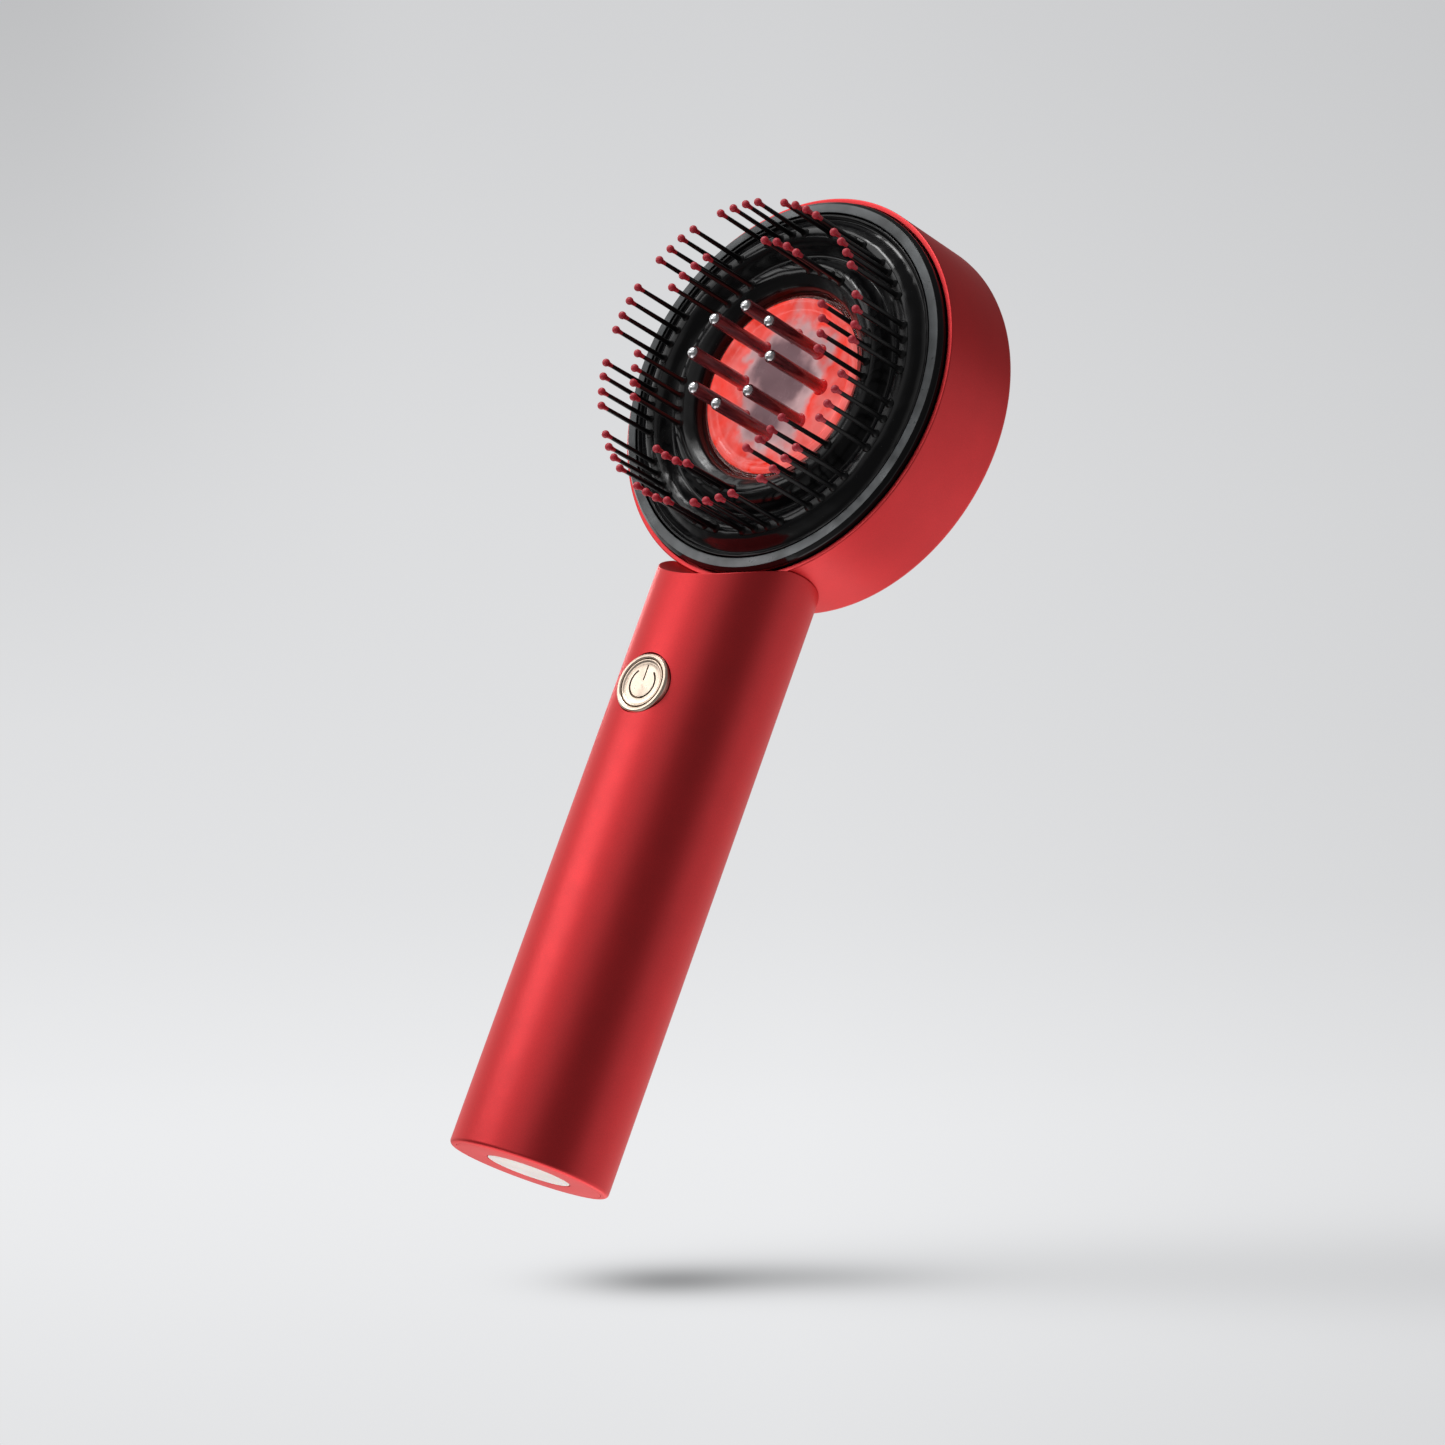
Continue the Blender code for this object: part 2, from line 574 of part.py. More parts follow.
def chassis_screws(head):
    shank, head_radius, end = 0.8, 1.9, -17.3
    under_head, over_head = FLANGE_HIGH + GAP, FLANGE_HIGH + 1.5
    profile = [(0.0, over_head), (head_radius - 0.4, over_head), (head_radius, over_head - 0.6),
               (head_radius, under_head), (shank, under_head), (shank, end), (0.0, end)]
    for number, (x, y) in enumerate(boss_centres(), 1):
        turned(f"chassis_screw_{number}", profile, head, STEEL, TINY_STEPS, (x, y, 0.0))


def light_board(head):
    rod("light_board", LIGHT_BOARD_RADIUS, LIGHT_BOARD_LOW, LIGHT_BOARD_HIGH, head, BOARD_GREEN, MIDDLE_STEPS)


def leds(head):
    half, low = 1.6, LIGHT_BOARD_HIGH + GAP
    high = low + 1.2
    for number in range(LED_COUNT):
        x, y = on_circle(LED_RING, 360.0 / LED_COUNT * number)
        box(f"led_{number + 1}", (x - half, y - half, low), (x + half, y + half, high), head, LED_WHITE)


def light_diffuser(head):
    rod("light_diffuser", 18.9, -14.4, -13.2, head, PALE_SILICONE, MIDDLE_STEPS)


# ---------------------------------------------------------------- applicator

def reservoir_cup(head):
    """A cup with a rim round the lens and a groove for its seal."""
    inner, groove, rim = 17.4, 17.95, 19.04
    floor, ledge, rim_low, rim_top = CUP_LOW + 1.2, -0.5, -0.6, 1.01
    groove_low, groove_high = -7.2, -6.0
    rim_inner = LENS_RADIUS + GAP
    profile = [
        (0.0, floor), (inner, floor), (inner, ledge), (rim_inner, ledge), (rim_inner, rim_top),
        (rim, rim_top), (rim, rim_low), (CUP_RADIUS, rim_low), (CUP_RADIUS, groove_high),
        (groove, groove_high), (groove, groove_low), (CUP_RADIUS, groove_low), (CUP_RADIUS, CUP_LOW),
        (0.0, CUP_LOW),
    ]
    turned("reservoir_cup", profile, head, CLEAR, MIDDLE_STEPS)


def ball_centres():
    return [on_circle(BALL_RING, 360.0 / BALL_COUNT * n) for n in range(BALL_COUNT)]


def nozzle_plate(head):
    """A dished lens with a drilled tube under each ball."""
    low = -0.2
    profile = [(0.0, 0.9), (15.5, 1.0), (17.2, 1.7), (17.8, 1.75), (LENS_RADIUS, 1.4), (LENS_RADIUS, low),
               (0.0, low)]
    plate = turned("nozzle_plate", profile, head, CLEAR_RED, MIDDLE_STEPS)
    tube_top = BALL_HEIGHT + 0.3
    outlines = [circle(centre, TUBE_RADIUS, TINY_STEPS) for centre in ball_centres()]
    tubes = prism("nozzle_tubes", outlines, low + 0.5, tube_top, head)
    socket, bore = BALL_RADIUS + 0.1, 0.5
    bowl_end = math.degrees(math.acos(bore / socket))
    bowl = arc((0.0, BALL_HEIGHT), socket, 0.0, -bowl_end, 2)
    over, under = tube_top + 1.0, low - 1.0
    drill = [(0.0, over), (socket, over), *bowl, (bore, under), (0.0, under)]
    combine(plate, tubes, "UNION")
    combine(plate, spun("nozzle_drills", drill, ball_centres(), TINY_STEPS, head))


def roller_balls(head):
    for number, (x, y) in enumerate(ball_centres(), 1):
        form = bmesh.new()
        bmesh.ops.create_uvsphere(form, u_segments=8, v_segments=6, radius=BALL_RADIUS * MM)
        mesh = bpy.data.meshes.new(f"roller_ball_{number}")
        form.to_mesh(mesh)
        form.free()
        smooth(mesh)
        ball = link(bpy.data.objects.new(mesh.name, mesh), head, STEEL)
        ball.location = Vector((x, y, BALL_HEIGHT)) * MM


# ---------------------------------------------------------------- brush head

def group_angles(first, groups):
    return [first + 360.0 / groups * n for n in range(groups)]


def pad_half_angle(ring_radius, pitch, margin):
    """Half the angle that a group of bristles takes on its ring, with a margin past the last one."""
    return pitch * (PINS_IN_GROUP - 1) / 2.0 + math.degrees(margin / ring_radius)


def pads(name, ring, groups, first, pitch, grow, low, high, head):
    """One curved pad for each group of bristles. grow widens it, for the slot that the pad fits."""
    half_width = PIN_RADIUS + 0.5 + grow
    half_angle = pad_half_angle(ring, pitch, half_width)
    outlines = [sector(ring, half_width, middle, half_angle, 3) for middle in group_angles(first, groups)]
    return prism(name, outlines, low, high, head)


def bristle_ring(name, ring, groups, first, pitch, pad_top, head):
    """A backing ring with pads that reach up through the brush plate, and the bristles on them."""
    outer, inner, low, high, rooted = ring + 1.7, ring - 1.7, -1.6, -0.6, 1.0
    profile = [(outer, high), (outer, low), (inner, low), (inner, high)]
    body = turned(name, profile, head, BRISTLE, MIDDLE_STEPS)
    combine(body, pads(name + "_pads", ring, groups, first, pitch, 0.0, low + 0.4, pad_top, head), "UNION")
    centres = []
    for middle in group_angles(first, groups):
        for pin in range(PINS_IN_GROUP):
            centres.append(on_circle(ring, middle + pitch * (pin - (PINS_IN_GROUP - 1) / 2.0)))
    neck = TIP_HEIGHT - math.sqrt(TIP_RADIUS ** 2 - PIN_RADIUS ** 2)
    pin_profile = [(0.0, TIP_HEIGHT + TIP_RADIUS), (TIP_RADIUS, TIP_HEIGHT), (PIN_RADIUS, neck),
                   (PIN_RADIUS, pad_top - rooted), (0.0, pad_top - rooted)]
    combine(body, spun(name + "_pins", pin_profile, centres, PIN_STEPS, head), "UNION")


def brush_plate(head):
    """The glossy dish: a raised outer ridge, a valley, a higher inner ridge, and a wall down to the lens."""
    outer_edge, slot_low, slot_high = 35.8, -1.0, 6.0
    underside = [(34.3, -1.4), (33.2, 1.4), (29.4, 1.4), (27.0, -0.2), (25.2, 2.2), (21.4, 2.2), (20.7, -1.6),
                 (19.4, -1.6)]
    top = [(19.4, 1.0), (20.9, 3.5), (23.1, 4.4), (25.1, 3.3), (26.9, 1.0), (29.0, 2.8), (31.1, 3.6),
           (33.1, 2.6), (34.8, 1.1)]
    profile = [(outer_edge, 1.9), (outer_edge, -1.4), *underside, *top]
    plate = turned("brush_plate", profile, head, GLOSS_BLACK, RING_STEPS)
    combine(plate, pads("outer_slots", OUTER_RING, OUTER_GROUPS, OUTER_FIRST, OUTER_PITCH, GAP,
                        slot_low, slot_high, head))
    combine(plate, pads("inner_slots", INNER_RING, INNER_GROUPS, INNER_FIRST, INNER_PITCH, GAP,
                        slot_low, slot_high, head))


def brush_base_ring(head):
    outer, inner, low, high = 33.2, 20.0, -2.9, -1.9
    profile = [(outer, high), (outer, low), (inner, low), (inner, high)]
    turned("brush_base_ring", profile, head, BLACK_RUBBER, MIDDLE_STEPS)


# ---------------------------------------------------------------- the whole comb

def build():
    clear_scene()
    head = axis_empty("head_axis", head_matrix().to_translation(), math.radians(90.0) + FACE_TILT)
    button = axis_empty("button_axis", (0.0, 0.0, BUTTON_Z), math.radians(90.0))
    motor = axis_empty("motor_axis", (0.0, CELL_Y, 0.0))

    handle_housing(head, button)
    base_cap()
    ring_seal("base_cap_seal", 13.67, 0.38, 5.0)
    charging_socket()
    charge_board()
    port_cover()
    battery_carrier()
    battery_cell()
    main_board()
    board_screws()
    tact_switch(button)
    button_bezel(button)
    power_button(button)
    button_plunger(button)
    motor_case(motor)
    motor_clamp(motor)
    motor_shaft(motor)
    eccentric_weight(motor)
    battery_lead()

    neck_stud(head)
    neck_nut(head)
    head_lead(head)

    head_shell(head)
    bezel_ring(head)
    head_chassis(head)
    chassis_screws(head)
    light_board(head)
    leds(head)
    light_diffuser(head)

    reservoir_cup(head)
    ring_seal("reservoir_seal", CUP_RADIUS, 0.35, -6.6, head)
    nozzle_plate(head)
    roller_balls(head)

    brush_plate(head)
    brush_base_ring(head)
    bristle_ring("outer_bristle_ring", OUTER_RING, OUTER_GROUPS, OUTER_FIRST, OUTER_PITCH, OUTER_PAD_TOP,
                 head)
    bristle_ring("inner_bristle_ring", INNER_RING, INNER_GROUPS, INNER_FIRST, INNER_PITCH, INNER_PAD_TOP,
                 head)


build()
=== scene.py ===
"""The looks of an electric scalp massage comb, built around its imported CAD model.

The row frame has the handle's axis on +Z and the comb facing -Y. Three local frames hold the shapes. HEAD has
its origin in the middle of the drum's front plane, +Z out of the face, +Y up the face and +X to the right.
BUTTON has +Z out of the handle's front, measured from the handle's axis. BASE is the row frame itself.
Shapes are written in millimetres in these frames, and each frame brings them to metres in the row frame.
"""

import json
import math
import random

import bmesh
import bpy
from mathutils import Matrix, Vector


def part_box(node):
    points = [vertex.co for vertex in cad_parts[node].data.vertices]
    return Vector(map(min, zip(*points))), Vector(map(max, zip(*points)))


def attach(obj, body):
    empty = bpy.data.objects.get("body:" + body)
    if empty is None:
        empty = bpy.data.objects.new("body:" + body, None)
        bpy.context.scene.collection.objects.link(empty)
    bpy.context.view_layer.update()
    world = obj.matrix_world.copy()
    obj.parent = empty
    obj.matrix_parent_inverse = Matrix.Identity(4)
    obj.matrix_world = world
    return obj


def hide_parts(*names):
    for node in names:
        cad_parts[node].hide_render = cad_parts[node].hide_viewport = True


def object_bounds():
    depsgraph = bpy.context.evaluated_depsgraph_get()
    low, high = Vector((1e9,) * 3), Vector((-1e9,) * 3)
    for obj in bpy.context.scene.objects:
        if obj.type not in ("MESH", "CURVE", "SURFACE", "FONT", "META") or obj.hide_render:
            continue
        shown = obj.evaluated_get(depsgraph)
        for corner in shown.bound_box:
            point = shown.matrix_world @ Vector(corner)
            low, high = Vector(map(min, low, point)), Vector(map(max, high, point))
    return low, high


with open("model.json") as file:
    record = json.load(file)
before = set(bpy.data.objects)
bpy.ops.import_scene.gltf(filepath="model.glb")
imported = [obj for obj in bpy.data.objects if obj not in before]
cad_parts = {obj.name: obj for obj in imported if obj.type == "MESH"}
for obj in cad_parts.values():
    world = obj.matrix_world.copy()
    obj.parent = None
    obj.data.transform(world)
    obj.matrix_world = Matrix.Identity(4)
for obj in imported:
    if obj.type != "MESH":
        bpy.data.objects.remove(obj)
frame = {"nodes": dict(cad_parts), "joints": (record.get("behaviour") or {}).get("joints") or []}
cad_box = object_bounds()

MM = 0.001
BASE = Matrix.Identity(4)
SEED = 11

# steps of a full turn, from the widest pieces to the pins
WIDE_TURN, TURN, MIDDLE_TURN, SMALL_TURN, SCREW_TURN, PIN_TURN = 288, 192, 128, 48, 32, 16
SHARP = math.radians(38.0)   # corners sharper than this keep their edge
AXIS = 1e-6                  # a radius below this is a point on the axis
CLUSTER_GAP = math.radians(12.0)   # bristles further apart than this are in different clusters

# sizes that several pieces share, in millimetres
WALL = 1.4                   # the handle's wall
RED_RIM = 0.3                # fillet on the handle's upper edge
HAIRLINE = 0.04              # seam between pieces that touch
STUD_HOLE = 4.8              # radius of the hole for the neck stud
BEZEL_EDGE = 6.1             # radius of the button's gold ring
RELIEF_SLOPE = 0.24          # how fast the handle's top falls away in front of the drum


# ---------------------------------------------------------------- places, read from the frame

JOINTS = {joint["name"]: joint for joint in frame["joints"]}
NODES = frame["nodes"]


def reach(node, axis):
    """Lowest and highest place of a CAD node's points along an axis, in metres."""
    places = [vertex.co.dot(axis) for vertex in NODES[node].data.vertices]
    return min(places), max(places)


def local_frame(origin, right, up, out):
    """A frame at origin with +X right, +Y up and +Z out."""
    return Matrix.Translation(origin) @ Matrix((right, up, out)).transposed().to_4x4()


def head_frame():
    """The drum's face: its axis comes from the brush head's joint, and its place from the shell."""
    out = Vector(JOINTS["brush_head_lift"]["axis"]).normalized()
    right = Vector((1.0, 0.0, 0.0))
    low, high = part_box("head_shell")
    middle = (low + high) / 2.0
    front = reach("head_shell", out)[1]
    return local_frame(middle + out * (front - middle.dot(out)), right, out.cross(right), out)


def button_frame():
    """The button's axis, out from the handle's own axis at the button's height."""
    low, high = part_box("power_button")
    out = -Vector(JOINTS["power_press"]["axis"]).normalized()
    right = Vector((1.0, 0.0, 0.0))
    return local_frame(Vector((0.0, 0.0, (low.z + high.z) / 2.0)), right, out.cross(right), out)


HEAD = head_frame()
BUTTON = button_frame()
OUT = HEAD.to_3x3().col[2].copy()
UP = HEAD.to_3x3().col[1].copy()
FACE = HEAD.translation / MM


def local_points(node, place):
    """A CAD node's points in a local frame, in millimetres."""
    inverse = place.inverted()
    return [(inverse @ vertex.co) / MM for vertex in NODES[node].data.vertices]


def ring_span(node, place):
    """Least and greatest radius, then lowest and highest height, of a CAD node in a local frame."""
    points = local_points(node, place)
    radii = [point.xy.length for point in points]
    heights = [point.z for point in points]
    return min(radii), max(radii), min(heights), max(heights)


def tip_centres(node):
    """The bristles' places on the face: a bristle ends in one point, at the node's greatest height."""
    points = local_points(node, HEAD)
    level, apart = max(point.z for point in points) - 0.02, 0.1
    found = []
    for point in points:
        spot = point.xy
        if point.z > level and all((spot - other).length > apart for other in found):
            found.append(spot)
    return sorted(found, key=lambda spot: math.atan2(spot.y, spot.x) % math.tau)


def clusters(spots):
    """Groups of neighbouring bristles, each as its ring's radius and its bristles' angles."""
    groups = []
    for spot in spots:
        angle = math.atan2(spot.y, spot.x) % math.tau
        if groups and angle - groups[-1][1][-1] < CLUSTER_GAP:
            groups[-1][1].append(angle)
        else:
            groups.append((spot.length, [angle]))
    return groups


# ---------------------------------------------------------------- mesh helpers

def arc(centre, radius, first, last, steps):
    """Points from angle first to last, in degrees, about a centre."""
    points = []
    for step in range(steps + 1):
        angle = math.radians(first + (last - first) * step / steps)
        points.append((centre[0] + radius * math.cos(angle), centre[1] + radius * math.sin(angle)))
    return points


def circle(radius, steps, centre=(0.0, 0.0)):
    """A full circle's points."""
    return arc(centre, radius, 0.0, 360.0, steps)[:-1]


def stadium(half_length, half_width, steps):
    """A rounded slot's outline, long along X."""
    straight = half_length - half_width
    ends = arc((straight, 0.0), half_width, -90.0, 90.0, steps)
    return ends + arc((-straight, 0.0), half_width, 90.0, 270.0, steps)


def rectangle(left, right, low, high):
    """A rectangle's corners."""
    return [(left, low), (right, low), (right, high), (left, high)]


def rounded(corners, steps=5):
    """The points of an outline with rounded corners, and the finish of the stretch after each point.

    A corner is x, y, rounding and finish. A sharp one has only x and y, and a finish left out is the first.
    """
    points, marks = [], []
    for index, given in enumerate(corners):
        x, y, rounding, mark = (*given, 0, 0)[:4]
        corner = Vector((x, y))
        if not rounding:
            points.append((x, y))
            marks.append(mark)
            continue
        before = Vector(corners[index - 1][:2]) - corner
        after = Vector(corners[(index + 1) % len(corners)][:2]) - corner
        wanted = rounding / math.tan(before.angle(after) / 2.0)
        spare = min(wanted, before.length * 0.48, after.length * 0.48)
        start, end = corner + before.normalized() * spare, corner + after.normalized() * spare
        for step in range(steps + 1):
            t = step / steps
            points.append(tuple(start * (1 - t) ** 2 + corner * 2 * t * (1 - t) + end * t ** 2))
            marks.append(mark)
    return points, marks


def flowing(points, steps):
    """A smooth curve through points."""
    known = [Vector(point) for point in points]
    known = [known[0] * 2 - known[1], *known, known[-1] * 2 - known[-2]]
    curve = []
    for a, b, c, d in zip(known, known[1:], known[2:], known[3:]):
        square, cube = a * 2 - b * 5 + c * 4 - d, b * 3 - a - c * 3 + d
        for step in range(steps):
            t = step / steps
            curve.append(tuple((b * 2 + (c - a) * t + square * t ** 2 + cube * t ** 3) / 2))
    curve.append(tuple(points[-1]))
    return curve


def placed(name, data):
    """An object in the scene."""
    made = bpy.data.objects.new(name, data)
    bpy.context.scene.collection.objects.link(made)
    return made


def new_object(name, form, materials):
    """An object from a bmesh form, shaded smooth except at sharp corners."""
    bmesh.ops.recalc_face_normals(form, faces=form.faces)
    mesh = bpy.data.meshes.new(name)
    form.to_mesh(mesh)
    form.free()
    mesh.shade_smooth()
    mesh.set_sharp_from_angle(angle=SHARP)
    for material in materials:
        mesh.materials.append(material)
    return placed(name, mesh)


def add_skin(form, rings, place, closed=False, marks=None):
    """Faces between rings of points, in mm. A ring of one point is a pole, and an open end is capped."""
    rows = [[form.verts.new(place @ (Vector(point) * MM)) for point in ring] for ring in rings]
    pairs = list(zip(rows, rows[1:]))
    if closed:
        pairs.append((rows[-1], rows[0]))
    for strip, (near, far) in enumerate(pairs):
        count = max(len(near), len(far))
        for k in range(count):
            edge = [near[k % len(near)], near[(k + 1) % len(near)]]
            edge += [far[(k + 1) % len(far)], far[k % len(far)]]
            face = form.faces.new(list(dict.fromkeys(edge)))
            face.material_index = marks[strip] if marks else 0
    if not closed:
        for end in (rows[0], rows[-1]):
            if len(end) > 1:
                form.faces.new(end)


def ring_points(radius, height, steps=TURN, centre=(0.0, 0.0)):
    """A level ring of points, or one point on the axis."""
    if radius < AXIS:
        return [(*centre, height)]
    return [(x, y, height) for x, y in circle(radius, steps, centre)]


def add_turned(form, profile, place, steps, marks=None, centre=(0.0, 0.0)):
    """A profile of radius and height, turned about a centre. It closes unless it starts on the axis."""
    rings = [ring_points(radius, height, steps, centre) for radius, height in profile]
    add_skin(form, rings, place, profile[0][0] >= AXIS, marks)


def turned(name, profile, place, materials, steps=MIDDLE_TURN, marks=None, centre=(0.0, 0.0)):
    """A turned piece from points of radius and height."""
    form = bmesh.new()
    add_turned(form, profile, place, steps, marks, centre)
    return new_object(name, form, materials)


def lathe(name, corners, place, materials, steps=TURN):
    """A turned piece from rounded corners, whose x is a radius and y a height."""
    points, marks = rounded(corners)
    return turned(name, points, place, materials, steps, marks)


def cutter(name, outlines, low, high, place, materials=(), mark=0):
    """A tool that fills outlines from a low to a high level. Its faces take the finish at mark."""
    form = bmesh.new()
    for outline in outlines:
        add_skin(form, [[(x, y, height) for x, y in outline] for height in (low, high)], place)
    for face in form.faces:
        face.material_index = mark
    return new_object(name, form, materials)


def cut(piece, tool, operation="DIFFERENCE"):
    """Cuts tool out of piece for good and removes the tool. Cut faces take the tool's own finish."""
    modifier = piece.modifiers.new("cut", "BOOLEAN")
    modifier.object = tool
    modifier.operation = operation
    modifier.solver = "EXACT"
    graph = bpy.context.evaluated_depsgraph_get()
    mesh = bpy.data.meshes.new_from_object(piece.evaluated_get(graph))
    piece.modifiers.clear()
    piece.data = mesh
    bpy.data.objects.remove(tool)
    mesh.shade_smooth()
    mesh.set_sharp_from_angle(angle=SHARP)


def true_normals(piece, normal_at):
    """Gives corners the exact normal of the surface they lie on. normal_at says None where it has none."""
    mesh = piece.data
    normals = []
    for face in mesh.polygons:
        for index in face.vertices:
            exact = normal_at(mesh.vertices[index].co, face.normal)
            normals.append(exact if exact else (0.0, 0.0, 0.0))
    mesh.normals_split_custom_set(normals)


def belongs(piece, body, slot, *nodes):
    """The piece rides on a body and hides the CAD nodes it stands for. The slot is not used."""
    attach(piece, body)
    if nodes:
        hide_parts(*nodes)


# ---------------------------------------------------------------- node helpers

def add(tree, kind, inputs=None, **settings):
    """A shader node. An input is a value or another node's output."""
    made = tree.nodes.new("ShaderNode" + kind)
    for key, value in settings.items():
        setattr(made, key, value)
    for key, value in (inputs or {}).items():
        if isinstance(value, bpy.types.NodeSocket):
            tree.links.new(value, made.inputs[key])
        else:
            made.inputs[key].default_value = value
    return made


def math_node(tree, operation, *values):
    """The result of an operation on numbers."""
    return add(tree, "Math", dict(enumerate(values)), operation=operation).outputs[0]


def vector_node(tree, operation, *values):
    """The vector that an operation on vectors gives."""
    return add(tree, "VectorMath", dict(enumerate(values)), operation=operation).outputs["Vector"]


def measure(tree, operation, *values):
    """The number that an operation on vectors gives: a length, a distance or a dot product."""
    return add(tree, "VectorMath", dict(enumerate(values)), operation=operation).outputs["Value"]


def stretched(tree, vector, factors):
    """A vector times a factor along each axis."""
    return vector_node(tree, "MULTIPLY", vector, factors)


def scaled(tree, vector, factor):
    """A vector or a colour times one factor."""
    return add(tree, "VectorMath", {0: vector, "Scale": factor}, operation="SCALE").outputs["Vector"]


def spread(tree, value, low, high, new_low, new_high, smooth=False):
    """Maps value from low..high to new_low..new_high, held at its ends."""
    inputs = {"Value": value, "From Min": low, "From Max": high, "To Min": new_low, "To Max": new_high}
    kind = "SMOOTHSTEP" if smooth else "LINEAR"
    return add(tree, "MapRange", inputs, interpolation_type=kind).outputs["Result"]


def place_mm(tree, place=BASE):
    """The shaded point at rest in a local frame, in millimetres."""
    point = add(tree, "TexCoord").outputs["Object"]
    inputs = {"Vector": point, "Location": place.translation, "Rotation": place.to_euler(),
              "Scale": (MM, MM, MM)}
    return add(tree, "Mapping", inputs, vector_type="TEXTURE").outputs["Vector"]


def noise(tree, vector, size, low=0.0, high=1.0, detail=2.0):
    """Soft noise with features of size mm, mapped to low..high."""
    inputs = {"Vector": vector, "Scale": 1.0 / size, "Detail": detail}
    return spread(tree, add(tree, "TexNoise", inputs).outputs["Fac"], 0.3, 0.7, low, high)


def mix_colour(tree, factor, first, second):
    """A blend of two colours, each of them three numbers or another node's output."""
    sides = [side if isinstance(side, bpy.types.NodeSocket) else (*side, 1.0) for side in (first, second)]
    return add(tree, "Mix", {0: factor, 6: sides[0], 7: sides[1]}, data_type="RGBA").outputs[2]


def bump(tree, height, depth, after=None):
    """A bump of depth mm, on top of another one if it is given."""
    inputs = {"Height": height, "Distance": depth * MM, "Strength": 1.0}
    if after:
        inputs["Normal"] = after
    return add(tree, "Bump", inputs).outputs["Normal"]


def base_material(name, **values):
    """A material with its tree and its Principled shader, whose plain inputs are values."""
    material = bpy.data.materials.new(name)
    material.use_nodes = True
    tree = material.node_tree
    shader = tree.nodes["Principled BSDF"]
    for key, value in values.items():
        socket = shader.inputs[key.replace("_", " ")]
        socket.default_value = (*value, 1.0) if isinstance(value, tuple) and len(value) == 3 else value
    return material, tree, shader


def plug(tree, shader, **sockets):
    """Links nodes' outputs to a shader's inputs."""
    for key, socket in sockets.items():
        tree.links.new(socket, shader.inputs[key.replace("_", " ")])


def finish(name, colour, roughness, shade=0.08, smudge=0.04, grain=0.25, depth=0.003, blotch=9.0, **values):
    """A surface with uneven tone, smudged gloss and a fine grain, all at sizes in millimetres."""
    material, tree, shader = base_material(name, **values)
    vector = place_mm(tree)
    tone = noise(tree, vector, blotch, 1.0 - shade, 1.0 + shade)
    gloss = noise(tree, vector, blotch / 2.5, roughness - smudge, roughness + smudge, 4.0)
    plug(tree, shader, Base_Color=scaled(tree, colour, tone), Roughness=gloss,
         Normal=bump(tree, noise(tree, vector, grain), depth))
    return material


# ---------------------------------------------------------------- materials

RED = (0.62, 0.024, 0.029)
BLACK = (0.003, 0.003, 0.0035)
DUST = (0.09, 0.09, 0.09)
GOLD, ENGRAVED_GOLD = (0.78, 0.63, 0.51), (0.16, 0.11, 0.07)
# lens: its own dark and red plastic, then emission colours for a painted glow (middle and rim) and a painted
# pale reflection (ring and streaks)
LENS_DARK, LENS_RED = (0.07, 0.04, 0.045), (0.22, 0.006, 0.003)
LENS_GLOW_MIDDLE, LENS_PAINTED_REFLECTION = (0.14, 0.08, 0.09), (0.45, 0.25, 0.26)
LENS_REFLECTION_STREAK, LENS_RIM_GLOW = (0.68, 0.5, 0.5), (0.74, 0.02, 0.004)
# tube colours at the foot, painted redder for the lens's glow shining through, and by the ball
TUBE_FOOT_GLOW, TUBE_HIGH = (0.5, 0.01, 0.015), (0.2, 0.035, 0.042)
MASK_GREEN, TRACK_GREEN = (0.012, 0.11, 0.045), (0.05, 0.24, 0.1)
LED_RED = (1.0, 0.12, 0.06)


def red_metal():
    """Satin anodised metal: fine blasted grain, faint lengthwise drift in tone, a thin clear coat."""
    material, tree, shader = base_material("red_satin_metal", Metallic=1.0, Coat_Weight=0.55,
                                          Coat_Roughness=0.36, Specular_Tint=(1.0, 0.25, 0.25))
    vector = place_mm(tree)
    drift = noise(tree, stretched(tree, vector, (1.0, 1.0, 0.2)), 14.0, 0.94, 1.05)
    speckle = noise(tree, vector, 0.16, 0.93, 1.07, 1.0)
    tone = math_node(tree, "MULTIPLY", drift, speckle)
    grain = bump(tree, noise(tree, vector, 0.14), 0.0035)
    wave = bump(tree, noise(tree, vector, 6.0), 0.004, grain)
    plug(tree, shader, Base_Color=scaled(tree, RED, tone), Normal=wave,
         Roughness=noise(tree, vector, 5.0, 0.43, 0.49, 4.0))
    return material


def gloss_black():
    """Polished moulded plastic: a slow swell, a slight orange peel, faint wiping marks and specks of dust."""
    material, tree, shader = base_material("gloss_black_plastic", Specular_IOR_Level=0.2, Coat_Weight=0.1,
                                          Coat_Roughness=0.08)
    vector = place_mm(tree, HEAD)
    swell = bump(tree, noise(tree, vector, 5.0, detail=1.0), 0.14)
    peel = bump(tree, noise(tree, vector, 1.6), 0.006, swell)
    wipes = noise(tree, stretched(tree, vector, (1.0, 0.25, 1.0)), 2.2, 0.14, 0.24, 5.0)
    dust = add(tree, "TexVoronoi", {"Vector": vector, "Scale": 0.9}).outputs["Distance"]
    speck = spread(tree, dust, 0.02, 0.05, 1.0, 0.0)
    plug(tree, shader, Base_Color=mix_colour(tree, speck, BLACK, DUST), Normal=peel,
         Roughness=math_node(tree, "ADD", wipes, math_node(tree, "MULTIPLY", speck, 0.3)))
    return material


